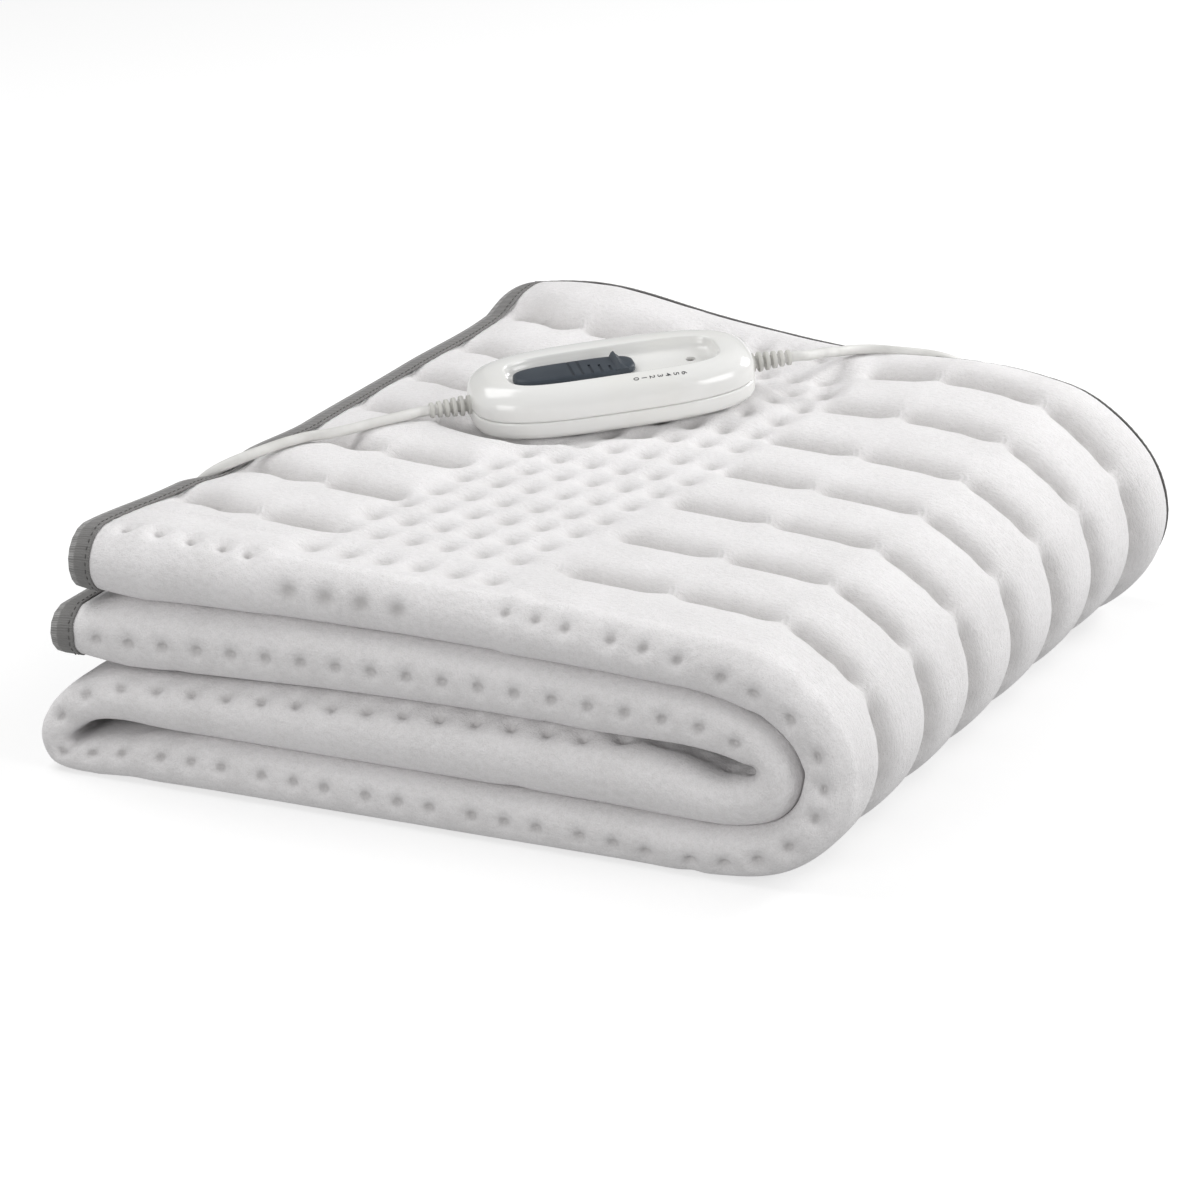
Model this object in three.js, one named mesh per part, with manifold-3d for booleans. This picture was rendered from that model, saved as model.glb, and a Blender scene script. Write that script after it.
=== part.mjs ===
// Electric underblanket, folded in half across its width and then in four along its length,
// with its slide controller lying on top. Millimetres, +Z up, standing on z = 0.

import * as THREE from 'three';
import { mergeVertices } from 'three/addons/utils/BufferGeometryUtils.js';
import Module from 'manifold-3d';

const wasm = await Module();
wasm.setup();

// Frame: the tables below count x from the leftmost fold and y from the front face.
const centreX = 199.88;
const centreY = 209.83;

// Sheet, as cut, and the tape sewn round its edge
const sheetLength = 1500;
const sheetWidth = 800;
const halfGap = 0.6;
const layerClearance = 0.5;
const hemWidth = 35;
const hemThickness = 0.45;
const tapeWidth = 11;
const tapeThickness = 1;
const tapeClearance = 0.65;
const cornerStep = 14;

// The fold seen from the front, a row for each section of the double layer, from the end of the
// top layer to the end of the second one. The face side is on top in the first layer.
const folds = [
  { part: 'top layer end', faceX: 18, faceZ: 119.5, backX: 18, backZ: 84 },
  { part: 'top layer', faceX: 60, faceZ: 119.5, backX: 60, backZ: 86.5 },
  { part: 'top layer', faceX: 120, faceZ: 117.5, backX: 120, backZ: 87.5 },
  { part: 'top layer', faceX: 200, faceZ: 114.5, backX: 200, backZ: 87.3 },
  { part: 'top layer', faceX: 260, faceZ: 112.3, backX: 258, backZ: 86.2 },
  { part: 'top layer', faceX: 300, faceZ: 110, backX: 295, backZ: 84.6 },
  { part: 'outer fold', faceX: 330, faceZ: 107.5, backX: 321, backZ: 83 },
  { part: 'outer fold', faceX: 352, faceZ: 104, backX: 340, backZ: 78.6 },
  { part: 'outer fold', faceX: 373, faceZ: 92, backX: 358, backZ: 71 },
  { part: 'outer fold', faceX: 388, faceZ: 74, backX: 367.5, backZ: 60.5 },
  { part: 'outer fold', faceX: 393.5, faceZ: 52, backX: 369.5, backZ: 50 },
  { part: 'outer fold', faceX: 389, faceZ: 33, backX: 367, backZ: 40 },
  { part: 'outer fold', faceX: 377, faceZ: 17, backX: 360, backZ: 31.5 },
  { part: 'outer fold', faceX: 358, faceZ: 5, backX: 349, backZ: 26.7 },
  { part: 'bottom layer', faceX: 330, faceZ: 0, backX: 330, backZ: 23.8 },
  { part: 'bottom layer', faceX: 280, faceZ: 0, backX: 280, backZ: 24 },
  { part: 'bottom layer', faceX: 200, faceZ: 0, backX: 200, backZ: 24.5 },
  { part: 'bottom layer', faceX: 120, faceZ: 0, backX: 120, backZ: 25.3 },
  { part: 'bottom layer', faceX: 70, faceZ: 0, backX: 72, backZ: 25 },
  { part: 'left fold', faceX: 36, faceZ: 0, backX: 42, backZ: 21 },
  { part: 'left fold', faceX: 18, faceZ: 0, backX: 24, backZ: 17 },
  { part: 'left fold', faceX: 4, faceZ: 4, backX: 14.5, backZ: 14 },
  { part: 'left fold', faceX: -1.5, faceZ: 15.5, backX: 13, backZ: 16 },
  { part: 'left fold', faceX: 2, faceZ: 28, backX: 17, backZ: 20.5 },
  { part: 'left fold', faceX: 15, faceZ: 42, backX: 26, backZ: 25.8 },
  { part: 'left fold', faceX: 31, faceZ: 49.5, backX: 40, backZ: 27.5 },
  { part: 'third layer', faceX: 60, faceZ: 51.3, backX: 62, backZ: 26.4 },
  { part: 'third layer', faceX: 100, faceZ: 53.6, backX: 100, backZ: 25.8 },
  { part: 'third layer', faceX: 150, faceZ: 56, backX: 150, backZ: 25 },
  { part: 'third layer', faceX: 220, faceZ: 57, backX: 220, backZ: 24.4 },
  { part: 'third layer', faceX: 275, faceZ: 56, backX: 278, backZ: 24 },
  { part: 'inner fold', faceX: 312, faceZ: 51, backX: 315, backZ: 23.8 },
  { part: 'inner fold', faceX: 332, faceZ: 44.5, backX: 341, backZ: 25.4 },
  { part: 'inner fold', faceX: 345.5, faceZ: 45.5, backX: 358.5, backZ: 31 },
  { part: 'inner fold', faceX: 349, faceZ: 48.5, backX: 367, backZ: 42 },
  { part: 'inner fold', faceX: 348.5, faceZ: 51.5, backX: 368, backZ: 54 },
  { part: 'inner fold', faceX: 344.5, faceZ: 54, backX: 361, backZ: 67.5 },
  { part: 'inner fold', faceX: 335, faceZ: 56.3, backX: 347, backZ: 75.5 },
  { part: 'second layer', faceX: 318, faceZ: 57.3, backX: 324, backZ: 82 },
  { part: 'second layer', faceX: 275, faceZ: 57, backX: 278, backZ: 85.2 },
  { part: 'second layer', faceX: 220, faceZ: 58, backX: 220, backZ: 87 },
  { part: 'second layer', faceX: 150, faceZ: 57, backX: 150, backZ: 87.3 },
  { part: 'second layer', faceX: 95, faceZ: 54.6, backX: 95, backZ: 86.8 },
  { part: 'second layer', faceX: 45, faceZ: 52.4, backX: 45, backZ: 84.7 },
  { part: 'second layer end', faceX: 8, faceZ: 52, backX: 8, backZ: 82 },
];

// How far the sheet's middle line lies above the front of its fold, along the sheet
const middleShift = [
  { along: 0, shift: 15 },
  { along: 330, shift: 3 },
  { along: 450, shift: 6 },
  { along: 700, shift: 3 },
  { along: 1000, shift: 7 },
  { along: 1500, shift: 0 },
];

// The ends of the top and second layers run back at a slant
const topEndSlant = [
  { y: 0, setBack: 0 },
  { y: 70, setBack: 11 },
  { y: 120, setBack: 18 },
  { y: 170, setBack: 24 },
  { y: 270, setBack: 26 },
  { y: 370, setBack: 31 },
  { y: 430, setBack: 40 },
];
const secondEndSlant = 12;
const slantReach = 300;

// Humps where the top layer lifts, and the spread of the right-hand folds to the back
const humps = [
  { x: 101, y: 425, height: 15, spreadX: 60, spreadY: 50 },
  { x: 312, y: 360, height: 9, spreadX: 55, spreadY: 70 },
];
const humpReach = 420;
const underHumpShare = 0.5;
const flareSlope = 0.022;
const flareStart = 230;
const flareWidth = 140;

// Facets: steps along the fold and rows across it
const stationStep = 38;
const stationTurn = THREE.MathUtils.degToRad(17);
const frontFacets = 6;
const faceRows = [0, tapeWidth, hemWidth, 90, 125, 160, 195, 235, 300];
const backRows = [0, tapeWidth, hemWidth, 110, 190, 270];

// Controller, in its own frame: x along it, y across it, z up from the middle of its base
const handset = {
  x: 165.8,
  y: 264.7,
  z: 115.6,
  heading: THREE.MathUtils.degToRad(37.8),
  pitch: THREE.MathUtils.degToRad(3.9),
  roll: THREE.MathUtils.degToRad(7),
};
const handsetLength = 138;
const handsetWidth = 61.5;
const handsetHeight = 24.6;
const handsetSquareness = 3;
const seatFull = 42;
const seatEnd = 74;
const seatGap = 1.7;
const partingHeight = 9.5;
const partingGap = 0.3;
const baseRadius = 4.5;
const crownInset = 13;
const crownHeight = 10;
const recessLength = 102.6;
const recessWidth = 32.3;
const recessSquareness = 4;
const recessShift = -2.6;
const recessDepth = 5.5;
const recessWallInset = 3;
const sliderLength = 59;
const sliderWidth = 18.5;
const sliderHeight = 3.9;
const sliderSquareness = 3.4;
const sliderStart = -18.4;
const sliderClearance = 0.3;
const finFromTip = 8;
const finLength = 5;
const finHeight = 2.6;
const finWidth = 15;
const lampX = 38.7;
const lampRadius = 1.9;
const lampHoleRadius = 2.3;
const lampHoleDepth = 2;
const lampHeight = 1.2;
const outlineSteps = 48;

// Strain reliefs at the controller's two ends
const reliefLength = 19;
const reliefHeight = 11;
const reliefRootRadius = 5;
const reliefTipRadius = 3.6;
const reliefRibs = 5;
const reliefRibDepth = 0.7;
const reliefSides = 16;
const fittingGap = 0.3;

// Leads: places count like the fold's tables, from the leftmost fold, the front face and the floor
const leadRadius = 2.5;
const leadSides = 8;
const leadStep = 8;
const blanketLeadRoute = [
  { x: 90.5, y: 198, z: 120.9 },
  { x: 84.5, y: 187, z: 120.9 },
  { x: 80, y: 178, z: 121 },
  { x: 75, y: 167, z: 121.1 },
  { x: 69.6, y: 158, z: 121.1 },
  { x: 62, y: 151, z: 120.7 },
  { x: 55, y: 140, z: 120.2 },
  { x: 49.5, y: 126.5, z: 119.8 },
  { x: 43.5, y: 115, z: 120 },
  { x: 38, y: 111, z: 119.9 },
  { x: 33, y: 108.5, z: 119.8 },
  { x: 28, y: 108, z: 117.4 },
  { x: 24, y: 109.5, z: 111.5 },
  { x: 21, y: 113, z: 102.5 },
  { x: 18.3, y: 120, z: 94.5 },
  { x: 17.5, y: 130, z: 88 },
  { x: 17.8, y: 142, z: 84.6 },
  { x: 18.5, y: 158, z: 83.4 },
  { x: 19.3, y: 180, z: 83.3 },
  { x: 20.3, y: 210, z: 83.4 },
  { x: 21.6, y: 240, z: 83.5 },
  { x: 22.8, y: 270, z: 83.6 },
  { x: 24.3, y: 298, z: 85 },
];
const mainsLeadRoute = [
  { x: 240.5, y: 328, z: 130.8 },
  { x: 241.5, y: 341, z: 128.4 },
  { x: 240.5, y: 355, z: 124.9 },
  { x: 240, y: 368, z: 121.6 },
  { x: 242, y: 381, z: 118.8 },
  { x: 249.5, y: 391.5, z: 117.4 },
  { x: 261, y: 396, z: 117.4 },
  { x: 274, y: 397, z: 117.6 },
  { x: 286, y: 398.5, z: 117.6 },
  { x: 297, y: 403, z: 117.4 },
  { x: 305, y: 409.5, z: 115.8 },
  { x: 311.5, y: 417.5, z: 109.5 },
  { x: 314.5, y: 425, z: 98.5 },
  { x: 315, y: 431, z: 84 },
  { x: 313, y: 436, z: 65 },
  { x: 309, y: 440, z: 46 },
  { x: 301, y: 445, z: 27 },
  { x: 288, y: 452, z: 12 },
  { x: 271, y: 459, z: 5 },
  { x: 250, y: 462, z: 3.4 },
  { x: 225, y: 462, z: 3.4 },
];

// Moulded inlet on the second layer's end, where the lead goes into the sheet
const inlet = { x: 24.3, y: 326, z: 81.85, length: 30, width: 14, height: 8, radius: 3, bevel: 1.2 };

// Stowed mains lead: a flat-bottomed ring, its tie, and the plug beside it
const coil = { x: 175, y: 500, turnsWide: 3, turnsHigh: 4, radius: 27.5, pitch: 5.3, base: 0.9 };
const coilCorner = 2;
const coilSides = 48;
const tieWidth = 9;
const tieThickness = 0.6;
const tieGap = 0.3;
const tieSideGap = 0.9;
const plugTail = 20;
const plugBody = { length: 34, width: 30, waist: 17, height: 13.6, bevel: 2.4 };
const plugAxisHeight = 7;
const pinLength = 19;
const pinRadius = 2;
const pinSpacing = 18.6;
const pinSides = 16;

// Materials
const fleece = new THREE.MeshStandardMaterial({ color: 0xe9e6e3, roughness: 0.95, metalness: 0 });
const tape = new THREE.MeshStandardMaterial({ color: 0x8a8784, roughness: 0.85, metalness: 0 });
const shell = new THREE.MeshStandardMaterial({ color: 0xe8e7e2, roughness: 0.3, metalness: 0 });
const slate = new THREE.MeshStandardMaterial({ color: 0x4e5860, roughness: 0.5, metalness: 0 });
const lens = new THREE.MeshStandardMaterial({ color: 0x5a2020, roughness: 0.2, metalness: 0 });
const cordSkin = new THREE.MeshStandardMaterial({ color: 0xcfccc6, roughness: 0.55, metalness: 0 });
const plated = new THREE.MeshStandardMaterial({ color: 0xc9c8c4, roughness: 0.25, metalness: 1 });

const underblanket = new THREE.Group();
const handsetTurn = new THREE.Euler(handset.roll, -handset.pitch, handset.heading, 'ZYX');

function addPiece(name, geometry, material, parent = underblanket) {
  const mesh = new THREE.Mesh(geometry, material);
  mesh.name = name;
  parent.add(mesh);
  return mesh;
}

// Value of a table's column at a place, between its rows
function fromTable(table, key, column, at) {
  const last = table.length - 1;
  if (at <= table[0][key]) return table[0][column];
  if (at >= table[last][key]) return table[last][column];
  const row = table.findIndex((entry) => entry[key] > at);
  const before = table[row - 1];
  const after = table[row];
  const share = (at - before[key]) / (after[key] - before[key]);
  const eased = share * share * (3 - 2 * share);
  return THREE.MathUtils.lerp(before[column], after[column], eased);
}

// The fold's two outlines, and the length along its middle
class Fold {
  constructor(rows) {
    const face = rows.map((row) => new THREE.Vector3(row.faceX, 0, row.faceZ));
    const back = rows.map((row) => new THREE.Vector3(row.backX, 0, row.backZ));
    this.face = new THREE.CatmullRomCurve3(face, false, 'centripetal');
    this.back = new THREE.CatmullRomCurve3(back, false, 'centripetal');
    this.samples = [];
    const count = 40 * rows.length;
    let travelled = 0;
    let previous = null;
    for (let i = 0; i <= count; i += 1) {
      const t = i / count;
      const middle = this.face.getPoint(t).add(this.back.getPoint(t)).multiplyScalar(0.5);
      if (previous) travelled += middle.distanceTo(previous);
      this.samples.push({ t, travelled, middle });
      previous = middle;
    }
    this.length = travelled;
  }

  // The curve parameter at a distance along the flat sheet
  parameter(along) {
    const target = (along / sheetLength) * this.length;
    const last = this.samples.length - 1;
    let low = 0;
    let high = last;
    while (high - low > 1) {
      const mid = (low + high) >> 1;
      if (this.samples[mid].travelled <= target) low = mid;
      else high = mid;
    }
    const a = this.samples[low];
    const b = this.samples[high];
    return a.t + ((b.t - a.t) * (target - a.travelled)) / (b.travelled - a.travelled);
  }

  // Middle, half thickness and direction to the face side, at a distance along the flat sheet
  section(along) {
    const held = THREE.MathUtils.clamp(along, 0, sheetLength);
    const t = this.parameter(held);
    const face = this.face.getPoint(t);
    const back = this.back.getPoint(t);
    const middle = face.clone().add(back).multiplyScalar(0.5);
    const toFace = face.clone().sub(middle);
    const half = toFace.length();
    toFace.divideScalar(half);
    const beyond = along - held;
    if (beyond !== 0) middle.x -= Math.abs(beyond);
    return { middle, toFace, half: half - layerClearance };
  }

  // Distances along the sheet of the faceted sections: even on the flat, closer on the bends
  stations() {
    const list = [0, tapeWidth, hemWidth];
    let weight = 0;
    let lastAlong = 0;
    let lastHeading = 0;
    for (let i = 0; i < this.samples.length - 1; i += 1) {
      const { middle, travelled } = this.samples[i];
      const ahead = this.samples[i + 1].middle;
      const along = (travelled / this.length) * sheetLength;
      const heading = Math.atan2(ahead.z - middle.z, ahead.x - middle.x);
      const turn = heading - lastHeading;
      const bend = Math.abs(Math.atan2(Math.sin(turn), Math.cos(turn)));
      weight += (along - lastAlong) / stationStep + bend / stationTurn;
      lastAlong = along;
      lastHeading = heading;
      if (weight < 1 || along < 1.5 * hemWidth || along > sheetLength - 1.5 * hemWidth) continue;
      list.push(along);
      weight = 0;
    }
    list.push(sheetLength - hemWidth, sheetLength - tapeWidth, sheetLength);
    return list;
  }
}

const fold = new Fold(folds);

// Single thickness of the sheet, thinner at its hem
function sheetThickness(half, fromEdge) {
  const share = THREE.MathUtils.clamp(fromEdge / hemWidth, 0, 1);
  return (half - halfGap) * THREE.MathUtils.lerp(hemThickness, 1, share);
}

function endSetBack(along, y, side) {
  const top = fromTable(topEndSlant, 'y', 'setBack', y) * (side > 0 ? 1 : 0.6);
  const second = (secondEndSlant * y) / sheetWidth * 2;
  const nearTop = Math.max(0, 1 - Math.max(along, 0) / slantReach);
  const nearSecond = Math.max(0, 1 - Math.max(sheetLength - along, 0) / slantReach);
  return top * nearTop - second * nearSecond;
}

function humpLift(x, y, along, side) {
  const reach = THREE.MathUtils.clamp((humpReach - along) / 90, 0, 1);
  let lift = 0;
  for (const hump of humps) {
    const dx = (x - hump.x) / hump.spreadX;
    const dy = (y - hump.y) / hump.spreadY;
    lift += hump.height * Math.exp(-dx * dx - dy * dy);
  }
  return lift * reach * (side > 0 ? 1 : underHumpShare);
}

// Height of the plane the controller's base lies in
function basePlane(x, y) {
  const up = new THREE.Vector3(0, 0, 1).applyEuler(handsetTurn);
  return handset.z - (up.x * (x - handset.x) + up.y * (y - handset.y)) / up.z;
}

// How far the top of the sheet follows the controller lying on it: 1 beneath, 0 away from it
function seatShare(x, y) {
  const dx = x - handset.x;
  const dy = y - handset.y;
  const u = dx * Math.cos(handset.heading) + dy * Math.sin(handset.heading);
  const v = dy * Math.cos(handset.heading) - dx * Math.sin(handset.heading);
  const beyond = Math.max(0, Math.abs(u) - (handsetLength - handsetWidth) / 2);
  const reach = Math.hypot(beyond, v);
  return 1 - THREE.MathUtils.smoothstep(reach, seatFull, seatEnd);
}

// A point of the sheet in space. along: distance from the top layer's end. across: distance
// round from the front of the fold, positive on the face side. share: -1 on the sheet's inner
// side, 1 on its outer side. fromEdge: distance to the nearest edge. clear: beyond the surface.
function place(along, across, share, fromEdge, clear = 0) {
  const reach = Math.abs(across);
  const side = Math.sign(across) || 1;
  const depth = Math.max(0, reach - tapeWidth);
  const { middle, toFace, half } = fold.section(along + endSetBack(along, depth, side));
  const radius = (half + halfGap) / 2;
  const offset = (share * sheetThickness(half, fromEdge)) / 2 + Math.sign(share) * clear;
  const quarter = (radius * Math.PI) / 2;
  let q = side * (radius + offset);
  let y = half + reach - quarter;
  if (reach <= quarter) {
    q = (radius + offset) * Math.sin(across / radius);
    y = half - (radius + offset) * Math.cos(across / radius);
  }
  const point = middle.clone().addScaledVector(toFace, q);
  point.z += humpLift(point.x, y, along, side);
  point.x += flareSlope * y * THREE.MathUtils.smoothstep(point.x, flareStart, flareStart + flareWidth);
  let height = Math.max(0, point.z - layerClearance);
  if (side > 0 && share > 0 && along < humpReach) {
    const seat = basePlane(point.x, y) - seatGap;
    height = THREE.MathUtils.lerp(height, seat, seatShare(point.x, y));
  }
  return new THREE.Vector3(point.x - centreX, y - centreY, height);
}

// Distances across the fold of the rows of facets, for one section
function rowsAt(along) {
  const { half } = fold.section(along);
  const radius = halfGap + (half - halfGap) / 2;
  const quarter = (radius * Math.PI) / 2;
  const shift = fromTable(middleShift, 'along', 'shift', THREE.MathUtils.clamp(along, 0, sheetLength));
  const faceEdge = sheetWidth / 2 + shift;
  const backEdge = sheetWidth / 2 - shift;
  const rows = faceRows.map((d) => ({ across: faceEdge - d, fromEdge: d }));
  for (let i = 0; i <= frontFacets; i += 1) {
    const across = quarter * (1 - (2 * i) / frontFacets);
    rows.push({ across, fromEdge: hemWidth });
  }
  for (const d of [...backRows].reverse()) rows.push({ across: -(backEdge - d), fromEdge: d });
  return rows;
}

function endDistance(along) {
  return Math.min(along, sheetLength - along);
}

// Closed mesh from rings of points: neighbouring rings are joined by quads
function ringsToGeometry(rings, closedLoop, caps) {
  const size = rings[0].length;
  const positions = rings.flat().flatMap((p) => [p.x, p.y, p.z]);
  const index = [];
  const count = closedLoop ? rings.length : rings.length - 1;
  for (let r = 0; r < count; r += 1) {
    const here = r * size;
    const next = ((r + 1) % rings.length) * size;
    for (let i = 0; i < size; i += 1) {
      const j = (i + 1) % size;
      index.push(here + i, here + j, next + j, here + i, next + j, next + i);
    }
  }
  index.push(...caps);
  const geometry = new THREE.BufferGeometry();
  geometry.setAttribute('position', new THREE.Float32BufferAttribute(positions, 3));
  geometry.setIndex(index);
  geometry.computeVertexNormals();
  return geometry;
}

function makeBlanket() {
  const rings = fold.stations().map((along) => {
    const rows = rowsAt(along);
    const side = (share) => rows.map((row) => {
      return place(along, row.across, share, Math.min(row.fromEdge, endDistance(along)));
    });
    return [...side(1), ...side(-1).reverse()];
  });
  const size = rings[0].length;
  const lastRing = (rings.length - 1) * size;
  const caps = [];
  for (let a = 0; a < size / 2 - 1; a += 1) {
    const b = a + 1;
    const c = size - 2 - a;
    const d = size - 1 - a;
    caps.push(a, c, b, a, d, c);
    caps.push(lastRing + a, lastRing + b, lastRing + c, lastRing + a, lastRing + c, lastRing + d);
  }
  return ringsToGeometry(rings, false, caps);
}

// The spots round the sheet's edge that the tape passes: where, which way is in from the edge,
// and how far the inside of the tape's lips lies from the nearest edge
function edgeSpots() {
  const spots = [];
  const inner = fold.stations().filter((along) => endDistance(along) >= hemWidth);
  const stations = [cornerStep, ...inner, sheetLength - cornerStep];
  const endRows = (along) => {
    const rows = rowsAt(along);
    const first = { across: rows[0].across - cornerStep };
    const last = { across: rows[rows.length - 1].across + cornerStep };
    return [first, ...rows.filter((row) => row.fromEdge >= hemWidth), last];
  };
  const edgeAt = (along, side) => {
    const rows = rowsAt(along);
    return side > 0 ? rows[0].across : rows[rows.length - 1].across;
  };
  const corner = (u, side, inU) => spots.push({ u, v: edgeAt(u, side), inU, inV: -side });
  const longEdge = (list, side) => {
    for (const u of list) spots.push({ u, v: edgeAt(u, side), inU: 0, inV: -side });
  };
  const endEdge = (u, rows, inU) => {
    for (const row of rows) spots.push({ u, v: row.across, inU, inV: 0 });
  };
  corner(0, 1, 1);
  longEdge(stations, 1);
  corner(sheetLength, 1, -1);
  endEdge(sheetLength, endRows(sheetLength), -1);
  corner(sheetLength, -1, -1);
  longEdge([...stations].reverse(), -1);
  corner(0, -1, 1);
  endEdge(0, endRows(0).reverse(), 1);
  return spots;
}

// The tape is a channel over the sheet's edge, swept once round it
function makeBinding() {
  const rings = edgeSpots().map(({ u, v, inU, inV }) => {
    const at = (distance, share, clear) => {
      const held = Math.max(distance, 0);
      return place(u + inU * distance, v + inV * distance, share, held, clear);
    };
    const near = tapeClearance;
    const far = tapeClearance + tapeThickness;
    return [
      at(-near, 1, near),
      at(-near, -1, near),
      at(tapeWidth, -1, near),
      at(tapeWidth, -1, far),
      at(-far, -1, far),
      at(-far, 1, far),
      at(tapeWidth, 1, far),
      at(tapeWidth, 1, near),
    ];
  });
  return ringsToGeometry(rings, true, []);
}

// Points round a superellipse
function superellipse(length, width, squareness, z, inset = 0, shiftX = 0, shiftY = 0) {
  const points = [];
  for (let i = 0; i < outlineSteps; i += 1) {
    const angle = (i / outlineSteps) * 2 * Math.PI;
    const c = Math.cos(angle);
    const s = Math.sin(angle);
    const x = Math.sign(c) * (length / 2 - inset) * Math.abs(c) ** (2 / squareness);
    const y = Math.sign(s) * (width / 2 - inset) * Math.abs(s) ** (2 / squareness);
    points.push(new THREE.Vector3(x + shiftX, y + shiftY, z));
  }
  return points;
}

// Solid lofted through rings that run counter-clockwise seen from above, lowest first
function loft(rings) {
  const size = rings[0].length;
  const last = (rings.length - 1) * size;
  const caps = [];
  for (let i = 1; i < size - 1; i += 1) {
    caps.push(0, i + 1, i);
    caps.push(last, last + i, last + i + 1);
  }
  return ringsToGeometry(rings, false, caps);
}

// The geometry with its seams joined
function sealed(geometry) {
  const bare = new THREE.BufferGeometry();
  bare.setAttribute('position', geometry.getAttribute('position'));
  bare.setIndex(geometry.getIndex());
  const merged = mergeVertices(bare, 1e-4);
  merged.computeVertexNormals();
  return merged;
}

function toManifold(geometry) {
  const merged = sealed(geometry);
  const mesh = new wasm.Mesh({
    numProp: 3,
    vertProperties: new Float32Array(merged.getAttribute('position').array),
    triVerts: new Uint32Array(merged.getIndex().array),
  });
  return new wasm.Manifold(mesh);
}

function fromManifold(solid) {
  const mesh = solid.getMesh();
  const geometry = new THREE.BufferGeometry();
  geometry.setAttribute('position', new THREE.BufferAttribute(mesh.vertProperties, 3));
  geometry.setIndex(new THREE.BufferAttribute(mesh.triVerts, 1));
  geometry.computeVertexNormals();
  return geometry;
}

// Moves a geometry from the controller's frame into place
function ontoBlanket(geometry) {
  const matrix = new THREE.Matrix4().makeRotationFromEuler(handsetTurn);
  matrix.setPosition(handset.x - centreX, handset.y - centreY, handset.z);
  return geometry.applyMatrix4(matrix);
}

function shellRing(z, inset) {
  return superellipse(handsetLength, handsetWidth, handsetSquareness, z, inset);
}

function makeHandsetBase() {
  const rings = [];
  for (let i = 0; i <= 3; i += 1) {
    const angle = (i / 3) * (Math.PI / 2);
    rings.push(shellRing(baseRadius * (1 - Math.cos(angle)), baseRadius * (1 - Math.sin(angle))));
  }
  rings.push(shellRing(partingHeight, 0));
  return loft(rings);
}

function makeHandsetTop() {
  const crownBase = handsetHeight - crownHeight;
  const rings = [shellRing(partingHeight + partingGap, 0)];
  for (let i = 0; i <= 6; i += 1) {
    const angle = (i / 6) * (Math.PI / 2);
    const inset = crownInset * (1 - Math.cos(angle));
    rings.push(shellRing(crownBase + crownHeight * Math.sin(angle), inset));
  }
  const floor = handsetHeight - recessDepth;
  const recessRing = (z, inset) => {
    return superellipse(recessLength, recessWidth, recessSquareness, z, inset, 0, recessShift);
  };
  const recess = loft([
    recessRing(floor, recessWallInset),
    recessRing(floor + 0.6, recessWallInset * 0.55),
    recessRing(floor + 2.2, recessWallInset * 0.2),
    recessRing(handsetHeight, 0),
    recessRing(handsetHeight + 2, 0),
  ]);
  const hole = new THREE.CylinderGeometry(lampHoleRadius, lampHoleRadius, lampHoleDepth * 2, 24);
  hole.rotateX(Math.PI / 2);
  hole.translate(lampX, recessShift, floor);
  const solid = toManifold(loft(rings)).subtract(toManifold(recess)).subtract(toManifold(hole));
  return fromManifold(solid.simplify(0.01));
}

function makeSlider() {
  const base = handsetHeight - recessDepth + sliderClearance;
  const ring = (z, inset) => {
    const shape = [sliderLength, sliderWidth, sliderSquareness];
    return superellipse(...shape, base + z, inset, sliderStart, recessShift);
  };
  const body = loft([
    ring(0, 0.3),
    ring(0.5, 0),
    ring(sliderHeight - 1.4, 0.2),
    ring(sliderHeight - 0.6, 1),
    ring(sliderHeight - 0.15, 2.6),
    ring(sliderHeight, 5),
  ]);
  const profile = new THREE.Shape();
  profile.moveTo(-finLength / 2, -1);
  profile.lineTo(finLength / 2, -1);
  profile.lineTo(finLength / 2, 0.2);
  profile.lineTo(finLength * 0.1, finHeight);
  profile.lineTo(-finLength * 0.12, finHeight);
  profile.lineTo(-finLength * 0.2, finHeight * 0.45);
  profile.closePath();
  const fin = new THREE.ExtrudeGeometry(profile, { depth: finWidth, bevelEnabled: false });
  fin.rotateX(Math.PI / 2);
  const finX = sliderStart + sliderLength / 2 - finFromTip;
  fin.translate(finX, recessShift + finWidth / 2, base + sliderHeight - 0.4);
  return fromManifold(toManifold(body).add(toManifold(fin)));
}

function makeLamp() {
  const lamp = new THREE.CylinderGeometry(lampRadius, lampRadius, lampHeight, 20);
  lamp.rotateX(Math.PI / 2);
  const floor = handsetHeight - recessDepth - lampHoleDepth;
  return lamp.translate(lampX, recessShift, floor + fittingGap + lampHeight / 2);
}

// Ribbed taper, its root at x = 0 and its tip out along +x
function makeRelief() {
  const points = [new THREE.Vector2(0, 0)];
  const rib = reliefLength / (2 * reliefRibs);
  for (let i = 0; i < 2 * reliefRibs; i += 1) {
    const share = i / (2 * reliefRibs - 1);
    const radius = THREE.MathUtils.lerp(reliefRootRadius, reliefTipRadius, share);
    const depth = i % 2 === 1 ? reliefRibDepth : 0;
    points.push(new THREE.Vector2(radius - depth, i * rib));
    points.push(new THREE.Vector2(radius - depth, i * rib + rib * 0.98));
  }
  points.push(new THREE.Vector2(0, reliefLength));
  return sealed(new THREE.LatheGeometry(points, reliefSides)).rotateZ(-Math.PI / 2);
}

// The lead's first two places past a strain relief's tip, in the group's frame.
// end: 1 for the mains end, -1 for the other
function reliefTip(end) {
  const reach = handsetLength / 2 + fittingGap + reliefLength + fittingGap;
  const base = new THREE.Vector3(handset.x - centreX, handset.y - centreY, handset.z);
  return [reach, reach + 5].map((distance) => {
    return new THREE.Vector3(end * distance, 0, reliefHeight).applyEuler(handsetTurn).add(base);
  });
}

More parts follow.
